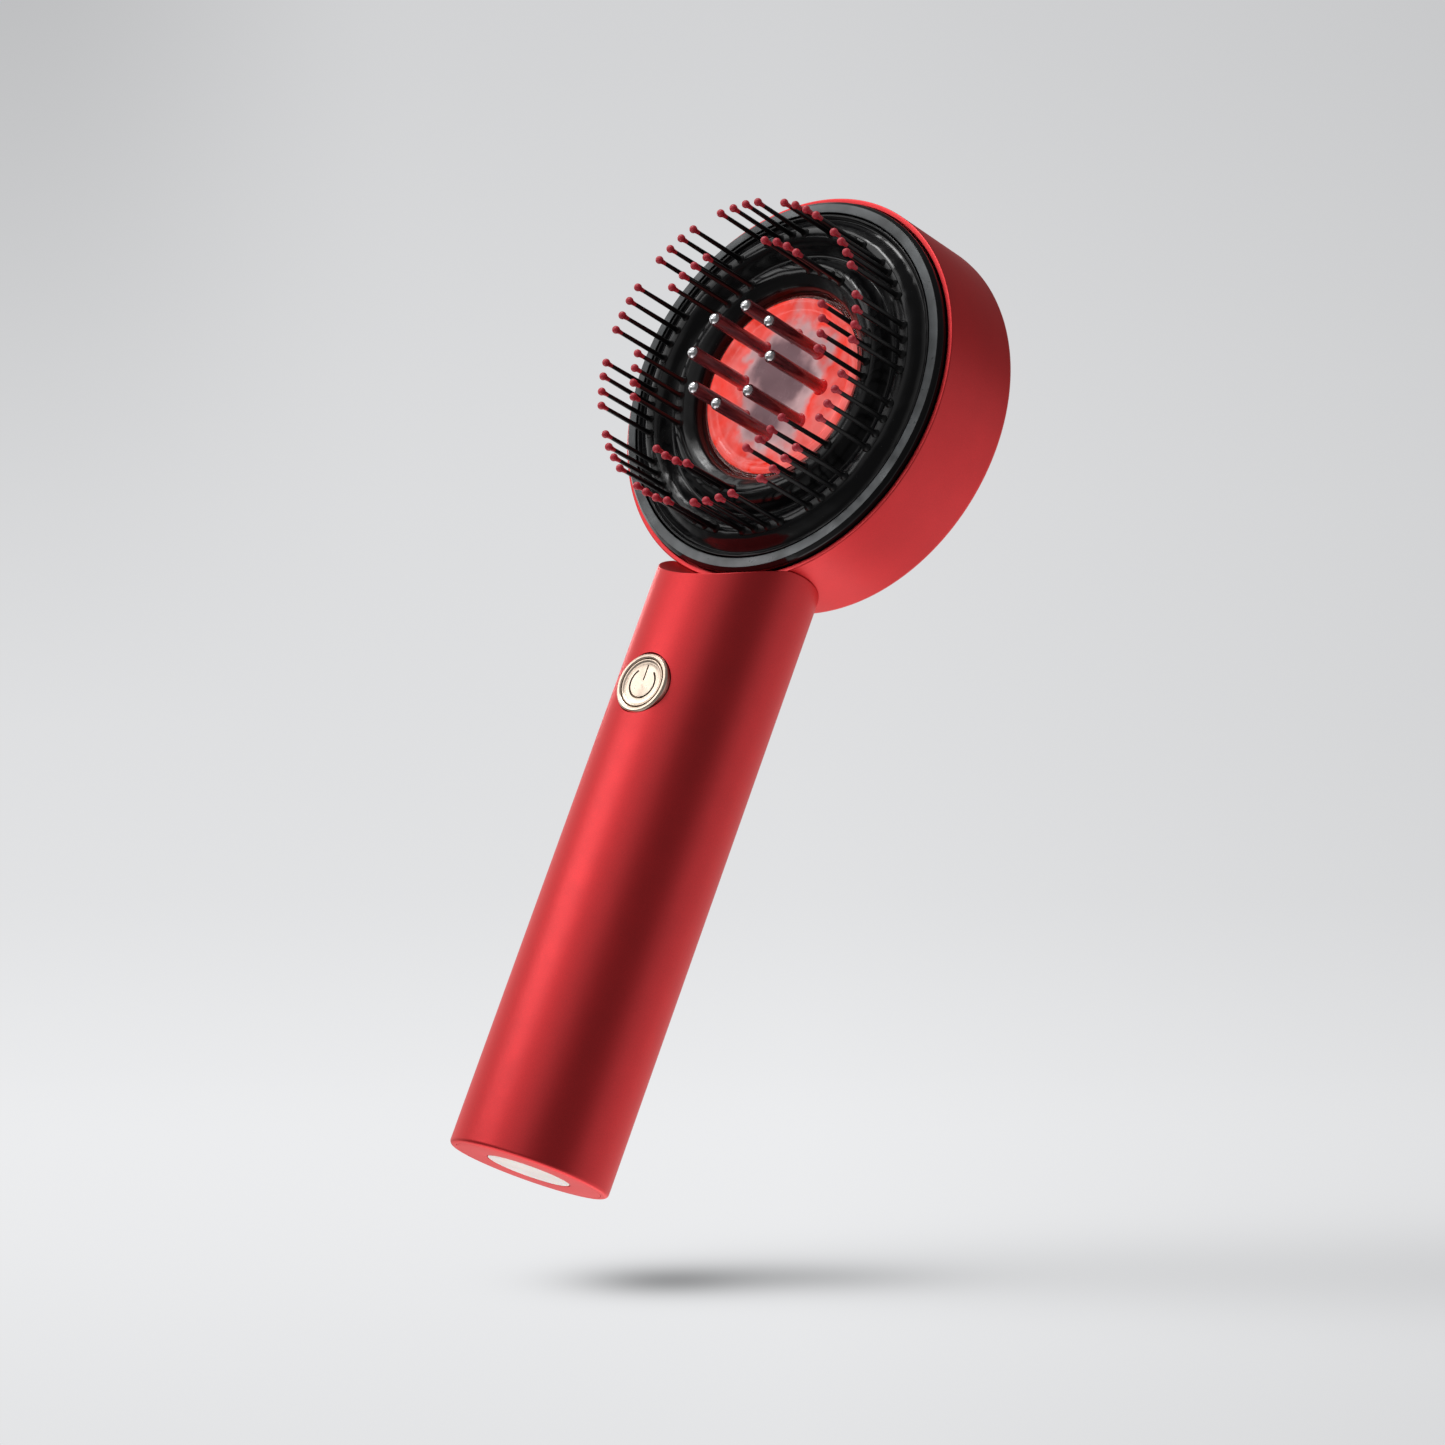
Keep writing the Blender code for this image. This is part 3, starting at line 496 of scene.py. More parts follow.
def spun_gold(name, colour, roughness):
    """Anodised champagne metal, turned on a lathe: fine rings about the button's axis."""
    material, tree, shader = base_material(name, Metallic=1.0, Anisotropic=0.75)
    vector = place_mm(tree, BUTTON)
    radius = measure(tree, "LENGTH", stretched(tree, vector, (1.0, 1.0, 0.0)))
    inputs = {"W": math_node(tree, "MULTIPLY", radius, 9.0), "Detail": 3.0, "Scale": 1.0}
    lines = add(tree, "TexNoise", inputs, noise_dimensions="1D").outputs["Fac"]
    tone = spread(tree, lines, 0.3, 0.7, 0.9, 1.06)
    tangent = add(tree, "Tangent", direction_type="RADIAL", axis="Y").outputs["Tangent"]
    plug(tree, shader, Base_Color=scaled(tree, colour, tone), Normal=bump(tree, lines, 0.004),
         Roughness=noise(tree, vector, 1.5, roughness - 0.04, roughness + 0.04, 4.0), Tangent=tangent)
    return material


def chrome():
    """Polished steel with hairline scratches and a little fog."""
    material, tree, shader = base_material("polished_chrome", Metallic=1.0, Base_Color=(0.66, 0.66, 0.68))
    vector = place_mm(tree)
    lines = noise(tree, stretched(tree, vector, (7.0, 0.6, 0.8)), 0.35, 0.1, 0.2, 4.0)
    plug(tree, shader, Roughness=lines, Normal=bump(tree, noise(tree, vector, 0.9), 0.0012))
    return material


def lit_lens():
    """Clear red plastic, its light from behind painted on as glow: a dim grey middle, a pale painted
    reflection round it and a glowing red rim.
    """
    material, tree, shader = base_material("lit_red_lens", IOR=1.5, Coat_Weight=0.15, Coat_Roughness=0.1,
                                          Specular_IOR_Level=0.22)
    vector = place_mm(tree, HEAD)
    warp = add(tree, "TexNoise", {"Vector": vector, "Scale": 0.13, "Detail": 3.0}).outputs["Color"]
    shift = scaled(tree, vector_node(tree, "SUBTRACT", warp, (0.5, 0.5, 0.5)), 17.0)
    bent = vector_node(tree, "ADD", vector, shift)
    radius = measure(tree, "LENGTH", stretched(tree, bent, (1.15, 0.85, 0.0)))
    reflection_ring = spread(tree, radius, 6.5, 11.5, 0.0, 1.0, True)
    rim = spread(tree, radius, 10.5, 13.8, 0.0, 1.0, True)
    # painted reflection: paler streaks laid over the pale ring
    streak = noise(tree, stretched(tree, bent, (1.0, 0.4, 1.0)), 5.0, 0.0, 0.3, 1.5)
    # painted light: the lens glows as emission, with a dim middle, a ring of painted reflection and a red rim
    # glow
    glow = mix_colour(tree, reflection_ring, LENS_GLOW_MIDDLE, LENS_PAINTED_REFLECTION)
    glow = mix_colour(tree, rim, glow, LENS_RIM_GLOW)
    glow = mix_colour(tree, math_node(tree, "MULTIPLY", streak, reflection_ring), glow, LENS_REFLECTION_STREAK)
    flow = bump(tree, noise(tree, vector, 3.5), 0.05)
    plug(tree, shader, Base_Color=mix_colour(tree, rim, LENS_DARK, LENS_RED), Emission_Color=glow,
         Emission_Strength=noise(tree, vector, 6.0, 0.8, 1.1), Normal=flow,
         Roughness=noise(tree, vector, 2.0, 0.18, 0.3, 4.0))
    return material


def tinted_tube():
    """Smoky red tube: dark by the ball, redder towards the foot as a painted glow of the lit lens, with
    lengthwise streaks.
    """
    material, tree, shader = base_material("smoky_red_tube", IOR=1.47, Coat_Weight=0.4, Coat_Roughness=0.08)
    vector = place_mm(tree, HEAD)
    height = add(tree, "SeparateXYZ", {0: vector}).outputs["Z"]
    rise = spread(tree, height, 1.5, 13.0, 0.0, 1.0, True)
    streak = noise(tree, stretched(tree, vector, (1.0, 1.0, 0.12)), 0.5, 0.5, 1.5, 3.0)
    # painted light: redder towards the foot, in place of the lens's glow shining up through the tube
    tone = mix_colour(tree, rise, TUBE_FOOT_GLOW, TUBE_HIGH)
    plug(tree, shader, Base_Color=scaled(tree, tone, streak),
         Transmission_Weight=spread(tree, height, 1.0, 10.0, 0.55, 0.25),
         Roughness=noise(tree, vector, 1.0, 0.12, 0.24, 3.0))
    return material


def clear_plastic(name, colour, roughness):
    """Clear plastic with faint flow lines."""
    material, tree, shader = base_material(name, IOR=1.47, Transmission_Weight=1.0, Base_Color=colour)
    vector = place_mm(tree, HEAD)
    flow = noise(tree, stretched(tree, vector, (1.0, 1.0, 0.15)), 0.9)
    plug(tree, shader, Normal=bump(tree, flow, 0.01),
         Roughness=noise(tree, vector, 2.0, roughness, roughness + 0.05, 3.0))
    return material


def circuit_board():
    """Green solder mask over copper tracks."""
    material, tree, shader = base_material("circuit_board_mask", Coat_Weight=0.3)
    vector = place_mm(tree)
    inputs = {"Vector": stretched(tree, vector, (0.5, 0.5, 0.5)), "Mortar Size": 0.07, "Scale": 1.0}
    track = add(tree, "TexBrick", inputs).outputs["Fac"]
    plug(tree, shader, Base_Color=mix_colour(tree, track, MASK_GREEN, TRACK_GREEN),
         Roughness=noise(tree, vector, 2.0, 0.3, 0.45), Normal=bump(tree, track, 0.03))
    return material


def led_window():
    """A lit diode's window, with an uneven glow."""
    material, tree, shader = base_material("led_window", Base_Color=(0.8, 0.12, 0.08), Emission_Color=LED_RED)
    vector = place_mm(tree, HEAD)
    plug(tree, shader, Emission_Strength=noise(tree, vector, 1.0, 2.0, 3.0),
         Roughness=noise(tree, vector, 0.6, 0.2, 0.4))
    return material


def make_materials():
    """Every finish by the name that the pieces use."""
    return {
        "red": red_metal(),
        "black": gloss_black(),
        "chamfer": finish("satin_graphite", (0.062, 0.067, 0.07), 0.3, 0.6, grain=0.2, depth=0.004,
                          blotch=7.0, Metallic=0.35),
        "bristle": finish("bristle_nylon", (0.004, 0.004, 0.0045), 0.4, grain=0.3, depth=0.006,
                          Specular_IOR_Level=0.3),
        "tip": finish("dipped_red_tip", (0.5, 0.02, 0.04), 0.45, grain=0.5, depth=0.01,
                      Subsurface_Weight=0.15, Subsurface_Scale=0.0006),
        "gold": spun_gold("champagne_gold_spun", GOLD, 0.3),
        "engraved": spun_gold("champagne_gold_engraved", ENGRAVED_GOLD, 0.45),
        "chrome": chrome(),
        "lens": lit_lens(),
        "tube": tinted_tube(),
        "cup": clear_plastic("clear_cup", (0.9, 0.88, 0.88), 0.03),
        "silicone": finish("pale_silicone", (0.8, 0.71, 0.67), 0.48, grain=0.15, depth=0.006,
                           Subsurface_Weight=0.2, Subsurface_Scale=0.001),
        "steel": finish("satin_steel", (0.6, 0.6, 0.61), 0.32, grain=0.1, depth=0.003, Metallic=1.0),
        "rubber": finish("matt_black_rubber", (0.018, 0.018, 0.018), 0.7, grain=0.1, depth=0.01),
        "plastic": finish("natural_plastic", (0.5, 0.5, 0.48), 0.5, grain=0.2, depth=0.01),
        "board": circuit_board(),
        "sleeve": finish("blue_shrink_sleeve", (0.03, 0.13, 0.36), 0.3, grain=1.5, depth=0.05,
                         Coat_Weight=0.3),
        "wire": finish("red_wire_sheath", (0.5, 0.02, 0.02), 0.45, grain=0.2, depth=0.01),
        "brass": finish("turned_brass", (0.78, 0.56, 0.25), 0.3, grain=0.1, depth=0.003, Metallic=1.0),
        "led": led_window(),
        "opal": finish("opal_diffuser", (0.82, 0.78, 0.76), 0.45, grain=0.3, depth=0.01,
                       Subsurface_Weight=0.4, Subsurface_Scale=0.002),
    }


# ---------------------------------------------------------------- handle

def room_height(x, y, radius):
    """Where a vertical line meets the underside of the drum's room, which opens forward as a cone."""
    z = FACE.z - radius
    for _ in range(6):
        ahead = max(0.0, OUT.y * (y - FACE.y) + OUT.z * (z - FACE.z))
        wide = radius + RELIEF_SLOPE * ahead
        down = -math.sqrt(wide * wide - x * x)
        z = FACE.z + (down - UP.y * (y - FACE.y)) / UP.z
    return z


def lid_rings(outer, radius, count=9):
    """Rings from the axis out to a radius on the underside of the drum's room."""
    rings = [[(0.0, 0.0, room_height(0.0, 0.0, radius))]]
    for step in range(1, count + 1):
        rings.append([(x, y, room_height(x, y, radius)) for x, y in circle(outer * step / count, TURN)])
    return rings


def rim_rings(outer, radius, fillet, steps=5):
    """The rounded edge from the handle's lid to its side."""
    rings = []
    lid = outer - fillet
    for step in range(1, steps + 1):
        t = step / steps
        ring = []
        for x, y in circle(1.0, TURN):
            top = room_height(outer * x, outer * y, radius)
            inward = room_height(lid * x, lid * y, radius)
            reach_out = lid * (1 - t) ** 2 + outer * (1 - (1 - t) ** 2)
            height = inward * (1 - t) ** 2 + top * 2 * t * (1 - t) + (top - fillet) * t ** 2
            ring.append((reach_out * x, reach_out * y, height))
        rings.append(ring)
    return rings


def side_rings(outer, radius, low, fillet, count=24):
    """Rings down a round side, from the drum's room to a low edge."""
    rings = []
    for step in range(1, count + 1):
        ring = []
        for x, y in circle(outer, TURN):
            top = room_height(x, y, radius) - fillet
            ring.append((x, y, top + (low - top) * step / count))
        rings.append(ring)
    return rings


def stud_drill():
    """A rod along the face's Y, through the walls of the drum and the handle where the neck stud passes."""
    low, high = reach("neck_stud", OUT)
    behind = (low + high) / 2.0 / MM - OUT.dot(FACE)
    first, last = 34.0, 46.0
    place = HEAD @ Matrix.Translation((0.0, 0.0, behind * MM)) @ Matrix.Rotation(math.radians(90.0), 4, "X")
    return cutter("stud_drill", [circle(STUD_HOLE, SMALL_TURN)], first, last, place)


def handle(paint):
    """The housing: a tube with a lid under the drum, a rounded foot, and holes for button and stud."""
    outer = ring_span("handle_housing", BASE)[1]
    inner, foot, chamfer = outer - WALL, 0.8, 0.12
    room = ring_span("head_shell", HEAD)[1] + HAIRLINE
    rings = lid_rings(outer - RED_RIM, room)
    rings += rim_rings(outer, room, RED_RIM)
    rings += side_rings(outer, room, foot, RED_RIM)
    edge = arc((outer - foot, foot), foot, 0.0, -90.0, 6)[1:] + [(inner + chamfer, 0.0), (inner, chamfer)]
    rings += [ring_points(radius, height) for radius, height in edge]
    rings += reversed(side_rings(inner, room + WALL, 0.5, 0.0, 6))
    rings += reversed(lid_rings(inner, room + WALL, 6))
    form = bmesh.new()
    add_skin(form, rings, BASE)
    housing = new_object("handle_shell", form, [paint["red"]])
    hole = circle(BEZEL_EDGE + 0.14, 96)
    cut(housing, cutter("bezel_drill", [hole], 8.0, 20.0, BUTTON, [paint["red"]]))
    cut(housing, stud_drill())
    true_normals(housing, lambda point, face: radial_normal(point, face, outer))
    belongs(housing, "handle", "red_shell", "handle_housing")


def radial_normal(point, face_normal, radius):
    """Straight out of the handle's axis for faces of its round side, and None for others."""
    near, facing = 0.02, 0.985
    flat = Vector((point.x, point.y, 0.0))
    outward = flat.normalized()
    on_side = abs(flat.length / MM - radius) <= near and face_normal.dot(outward) >= facing
    return outward if on_side else None


def base_cap(paint):
    """The flat foot of the handle with a round recess and a slot for the charging socket."""
    high = ring_span("base_cap", BASE)[3]
    outer = ring_span("handle_housing", BASE)[1] - WALL - HAIRLINE
    neck = outer - 0.3
    recess = ring_span("port_cover", BASE)[1] + 0.12
    corners = [
        (0.0, 3.0), (12.0, 3.0, 0.2), (12.0, high, 0.2), (neck, high, 0.3), (neck, 5.8), (13.0, 5.8, 0.1),
        (13.0, 4.2, 0.1), (neck, 4.2), (neck, 3.0), (outer, 2.6), (outer, 0.0, 0.08), (recess, 0.0, 0.1),
        (recess, 1.5, 0.1), (0.0, 1.5),
    ]
    cap = lathe("base_cap_disc", corners, BASE, [paint["red"]])
    cut(cap, cutter("socket_slot", [stadium(4.8, 1.9, 12)], 0.5, 4.0, BASE, [paint["red"]]))
    belongs(cap, "handle", "red_shell", "base_cap")


def port_cover(paint):
    """A silicone plug with a soft edge, a shallow finger dish and a tongue that enters the socket."""
    _, radius, low, high = ring_span("port_cover", BASE)
    thick = 1.2
    corners = [(0.0, thick), (radius - 0.1, thick, 0.2), (radius, low, 0.35), (radius - 1.2, low, 0.5),
               (0.0, low + 0.08)]
    cover = lathe("port_cover_plug", corners, BASE, [paint["silicone"]], MIDDLE_TURN)
    tongue = cutter("cover_tongue", [stadium(3.8, 0.9, 8)], thick / 2.0, high, BASE, [paint["silicone"]])
    cut(cover, tongue, "UNION")
    belongs(cover, "port_cover", "pale_silicone", "port_cover")


def button_bezel(paint):
    """The gold ring round the button, on a flange behind the handle's wall."""
    low, high = ring_span("button_bezel", BUTTON)[2:]
    flange, bore, mouth = 7.3, 5.55, 5.06
    corners = [
        (BEZEL_EDGE, high - 0.35, 0.15), (BEZEL_EDGE, high - 3.95), (flange, high - 3.95, 0.1),
        (flange, low, 0.1), (bore, low), (bore, high - 1.6), (mouth, high - 1.6), (mouth, high - 0.2, 0.1),
        (5.3, high, 0.08), (BEZEL_EDGE - 0.35, high, 0.12),
    ]
    ring = lathe("button_bezel_ring", corners, BUTTON, [paint["gold"]], MIDDLE_TURN)
    belongs(ring, "handle", "champagne_gold", "button_bezel")


def power_symbol():
    """A ring open at its top, and a thin stroke that enters it through the opening."""
    middle, half, opening, stroke_up = 3.05, 0.2, 40.0, 2.15
    outer = arc((0.0, 0.0), middle + half, 90.0 + opening, 450.0 - opening, 48)
    inner = arc((0.0, 0.0), middle - half, 450.0 - opening, 90.0 + opening, 48)
    return [outer + inner, [(-y, x + stroke_up) for x, y in stadium(1.65, 0.16, 6)]]


def power_button(paint):
    """A pressed metal cap: a nearly flat face, a low rim with a shallow groove inside it, and the symbol."""
    low, high = ring_span("power_button", BUTTON)[2:]
    flange, wide, inner = 5.3, 4.85, 4.4
    top = [(0.0, high - 0.27), (2.0, high - 0.26), (3.6, high - 0.24), (4.0, high - 0.26),
           (4.25, high - 0.28), (4.45, high - 0.14), (4.62, high - 0.03), (wide - 0.06, high - 0.04),
           (wide, high - 0.2)]
    under = [(wide, low + 0.5), (flange, low + 0.5), (flange, low), (inner, low), (inner, low + 1.2),
             (0.0, low + 1.2)]
    finishes = [paint["gold"], paint["engraved"]]
    cap = turned("power_button_cap", flowing(top, 5) + under, BUTTON, finishes, 160)
    cut(cap, cutter("symbol", power_symbol(), high - 0.55, high + 1.0, BUTTON, finishes, 1))
    belongs(cap, "power_button", "champagne_gold", "power_button")


# ---------------------------------------------------------------- drum

CHASSIS_SCREWS = ("chassis_screw_1", "chassis_screw_2", "chassis_screw_3")


def drum_shell(paint):
    """The drum: a round cup with a turned rim, and bosses for the screws inside."""
    _, outer, back, _ = ring_span("head_shell", HEAD)
    inner, mouth, floor, seat = outer - 1.6, outer - 1.0, back + 1.6, -3.0
    corners = [(0.0, floor), (inner, floor, 0.8), (inner, seat), (mouth, seat), (mouth, 0.0, 0.12),
               (outer, 0.0, 0.3), (outer, back, 1.2), (0.0, back)]
    shell = lathe("drum_cup", corners, HEAD, [paint["red"]], WIDE_TURN)
    cut(shell, stud_drill())
    bosses = bmesh.new()
    for node in CHASSIS_SCREWS:
        profile = [(1.1, floor - 0.2), (2.6, floor - 0.2), (2.6, -14.5), (2.5, -14.4), (1.1, -14.4)]
        add_turned(bosses, profile, HEAD, SMALL_TURN, centre=centre_of(node))
    posts = new_object("drum_screw_posts", bosses, [paint["red"]])
    belongs(posts, "handle", "red_shell")
    belongs(shell, "handle", "red_shell", "head_shell")


def centre_of(node):
    """A CAD node's middle on the face, in millimetres."""
    low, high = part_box(node)
    return (HEAD.inverted() @ ((low + high) / 2.0) / MM).xy


def drum_bezel(paint):
    """The black ring at the drum's mouth, with a satin chamfer on its front."""
    inner, outer, back, front = ring_span("bezel_ring", HEAD)
    ledge = inner + 2.65
    corners = [
        (ledge, front, 0.14, 1), (outer - 0.72, front - 0.2, 0.15), (outer, front - 0.95, 0.5),
        (outer, back, 0.15), (inner, back, 0.1), (inner, back + 1.0, 0.1), (ledge, back + 1.0),
    ]
    ring = lathe("drum_bezel_ring", corners, HEAD, [paint["black"], paint["chamfer"]], WIDE_TURN)
    belongs(ring, "handle", "bezel_grey", "bezel_ring")


def chassis(paint):
    """The well for the reservoir, on a flange with screw holes."""
    inner, outer, back, front = ring_span("head_chassis", HEAD)
    well, wall, flange = 19.2, 20.4, -14.1
    corners = [
        (wall, front, 0.3), (wall, flange + 1.2, 0.5), (outer, flange + 1.2, 0.3), (outer, flange, 0.3),
        (wall, flange), (wall, back, 0.2), (inner, back, 0.2), (inner, back + 0.9, 0.1),
        (well, back + 0.9, 0.2), (well, front, 0.3),
    ]
    ring = lathe("chassis_well", corners, HEAD, [paint["plastic"]], MIDDLE_TURN)
    holes = [circle(1.15, 24, centre_of(node)) for node in CHASSIS_SCREWS]
    cut(ring, cutter("flange_holes", holes, flange - 1.0, flange + 2.2, HEAD, [paint["plastic"]]))
    belongs(ring, "handle", "natural_plastic", "head_chassis")


def chassis_screws(paint):
    """Pan-head screws with a cross recess."""
    for node in CHASSIS_SCREWS:
        centre = centre_of(node)
        low, high = ring_span(node, HEAD)[2:]
        under, shank = high - 1.2, 0.8
        profile = [(0.0, high), (0.9, high - 0.06), (1.5, high - 0.3), (1.85, high - 0.75), (1.9, under),
                   (shank, under), (shank, low + shank), (0.0, low)]
        screw = turned(node + "_cross", profile, HEAD, [paint["steel"]], SCREW_TURN, centre=centre)
        for x, y in ((0.95, 0.18), (0.18, 0.95)):
            bar = rectangle(centre.x - x, centre.x + x, centre.y - y, centre.y + y)
            cut(screw, cutter("recess", [bar], high - 0.55, high + 0.5, HEAD, [paint["steel"]]))
        belongs(screw, "handle", "steel", node)


def light_disc(paint):
    """The opal disc under the reservoir, with a raised edge and fine light-spreading rings."""
    _, radius, low, high = ring_span("light_diffuser", HEAD)
    profile = [(0.0, high - 0.25)]
    for ring in range(1, 12):
        middle = ring * 1.45
        profile += [(middle - 0.4, high - 0.3), (middle, high - 0.12), (middle + 0.4, high - 0.3)]
    profile += [(radius - 1.2, high - 0.3), (radius - 1.0, high), (radius - 0.1, high), (radius, high - 0.1),
                (radius, low + 0.1), (radius - 0.1, low), (0.0, low)]
    disc = turned("light_spreader", profile, HEAD, [paint["opal"]])
    belongs(disc, "handle", "diffuser_white", "light_diffuser")


# ---------------------------------------------------------------- applicator

def cup(paint):
    """The clear reservoir, with a rim round the lens and a groove for its seal."""
    _, rim, low, high = ring_span("reservoir_cup", HEAD)
    outer, inner, groove = 18.6, 17.4, 17.95
    seat = ring_span("nozzle_plate", HEAD)[1] + 0.12
    corners = [
        (0.0, low + 1.2), (inner, low + 1.2, 0.8), (inner, -0.5, 0.1), (seat, -0.5, 0.1), (seat, high, 0.2),
        (rim, high, 0.28), (rim, -0.6, 0.1), (outer, -0.6, 0.1), (outer, -6.0, 0.1), (groove, -6.0, 0.1),
        (groove, -7.2, 0.1), (outer, -7.2, 0.1), (outer, low, 0.6), (0.0, low),
    ]
    vessel = lathe("reservoir_vessel", corners, HEAD, [paint["cup"]])
    belongs(vessel, "applicator", "clear_cup", "reservoir_cup")


def seal(paint):
    """The reservoir's O-ring."""
    inner, outer, low, high = ring_span("reservoir_seal", HEAD)
    section = circle((outer - inner) / 2.0, 12, ((inner + outer) / 2.0, (low + high) / 2.0))
    ring = turned("reservoir_o_ring", section, HEAD, [paint["rubber"]])
    belongs(ring, "applicator", "black_rubber", "reservoir_seal")


def ball_centres():
    """Place on the face and height of each roller ball, by its joint."""
    places = [Vector(JOINTS[f"roller_{number}_roll"]["pos_m"]) for number in range(1, 9)]
    return [HEAD.inverted() @ place / MM for place in places]


def lens(paint):
    """A shallow dome with a moulded lip at its rim."""
    _, radius, low, _ = ring_span("nozzle_plate", HEAD)
    top = [(0.0, 1.45), (4.0, 1.42), (8.0, 1.32), (12.0, 1.12), (15.2, 0.95), (16.3, 1.1), (17.1, 1.6),
           (17.7, 1.75), (radius - 0.05, 1.5), (radius, 1.25)]
    profile = flowing(top, 5) + [(radius, low), (0.0, low)]
    disc = turned("lens_dome", profile, HEAD, [paint["lens"]], TURN)
    belongs(disc, "applicator", "lens_red", "nozzle_plate")


def tubes(paint):
    """A clear drilled tube under each ball, flared at its foot and lipped round the ball."""
    bore, wide, hollow, low = 0.5, 1.35, 1.28, 1.0
    form = bmesh.new()
    for centre in ball_centres():
        bowl = arc((0.0, centre.z), hollow, 8.0, -66.0, 8)
        lip = [(hollow, centre.z + 0.3), (wide - 0.02, centre.z + 0.22), (wide, centre.z + 0.05)]
        foot = [(wide, low + 3.0), (wide, low + 0.9), (wide + 0.12, low + 0.45), (wide + 0.45, low + 0.12),
                (wide + 0.5, low)]
        profile = [*lip, *foot, (bore, low), (bore, bowl[-1][1] - 0.4), *reversed(bowl)]
        add_turned(form, profile, HEAD, SCREW_TURN, centre=centre.xy)
    made = new_object("nozzle_tubes", form, [paint["tube"]])
    belongs(made, "applicator", "lens_red", "nozzle_plate")


def balls(paint):
    """The polished balls, each on its own body."""
    for number, centre in enumerate(ball_centres(), 1):
        node = f"roller_ball_{number}"
        low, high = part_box(node)
        radius = (high.z - low.z) / 2.0 / MM
        side = arc((0.0, centre.z), radius, 90.0, -90.0, 20)[1:-1]
        profile = [(0.0, centre.z + radius), *side, (0.0, centre.z - radius)]
        ball = turned(f"chrome_ball_{number}", profile, HEAD, [paint["chrome"]], 40, centre=centre.xy)
        belongs(ball, f"roller_{number}", "ball_chrome", node)


# ---------------------------------------------------------------- brush head

PAD_HALF, SLOT_HALF = 0.97, 1.0   # half widths of a bristle pad and of its slot
DISH_EDGE = 35.8
DISH_TOP = ((19.4, 1.0), (19.9, 2.6), (20.9, 3.5), (22.0, 4.2), (23.1, 4.4), (24.2, 4.1), (25.1, 3.3),
            (26.0, 1.9), (26.9, 1.05), (28.0, 1.75), (29.0, 2.8), (30.1, 3.5), (31.1, 3.6), (32.2, 3.3),
            (33.1, 2.6), (34.0, 1.7), (34.75, 1.25), (35.05, 1.5), (35.3, 1.85), (35.65, 1.9),
            (DISH_EDGE, 1.7))


def curve_at(curve, radius):
    """Height and slope of a turned surface at a radius, or None past its ends."""
    for (near, low), (far, high) in zip(curve, curve[1:]):
        if near <= radius <= far + 1e-4:
            slope = (high - low) / max(far - near, AXIS)
            return low + slope * (radius - near), slope
    return None


def dish_normal(point, face_normal, curve):
    """The exact normal of the dish's turned top at a point, or None off that surface."""
    near, facing = 0.05, 0.9
    place = HEAD.inverted() @ point / MM
    found = curve_at(curve, place.xy.length)
    if not found or abs(place.z - found[0]) > near:
        return None
    slope = found[1]
    outward = place.xy.normalized()
    normal = HEAD.to_3x3() @ Vector((-slope * outward.x, -slope * outward.y, 1.0)).normalized()
    return normal if normal.dot(face_normal) > facing else None


def sector(ring, half_width, angles):
    """A stretch of a ring from its first angle to its last, with round ends past them."""
    first, last = math.degrees(angles[0]), math.degrees(angles[-1])
    start, end = arc((0.0, 0.0), ring, first, last, 1)
    outline = arc((0.0, 0.0), ring + half_width, first, last, 16)
    outline += arc(end, half_width, last, last + 180.0, 8)[1:-1]
    outline += arc((0.0, 0.0), ring - half_width, last, first, 16)
    return outline + arc(start, half_width, first + 180.0, first + 360.0, 8)[1:-1]


def brush_dish(paint, groups, curve):
    """The glossy dish: an outer ridge, a valley, a higher inner ridge, and a slot for each bristle pad."""
    under = [(DISH_EDGE, -1.4), (34.3, -1.4), (33.2, 1.2), (29.4, 1.2), (27.0, -0.4), (25.2, 2.0),
             (21.4, 2.0), (20.7, -1.6), (19.4, -1.6)]
    dish = turned("brush_dish", curve + under, HEAD, [paint["black"]], 240)
    outlines = [sector(ring, SLOT_HALF, angles) for ring, angles in groups]
    cut(dish, cutter("pad_slots", outlines, -0.5, 6.0, HEAD, [paint["black"]]))
    true_normals(dish, lambda point, face: dish_normal(point, face, curve))
    belongs(dish, "brush_head", "gloss_black", "brush_plate")


def add_pad(form, ring, angles, low, curve):
    """A pad that fills its slot and follows the ridge, with a soft upper edge."""
    rings = [[(x, y, low) for x, y in sector(ring, PAD_HALF, angles)]]
    for inset, sunk in ((0.0, 0.22), (0.03, 0.1), (0.09, 0.04), (0.2, 0.02), (0.45, 0.02), (0.75, 0.02)):
        outline = sector(ring, PAD_HALF - inset, angles)
        rings.append([(x, y, curve_at(curve, math.hypot(x, y))[0] - sunk) for x, y in outline])
    add_skin(form, rings, HEAD)


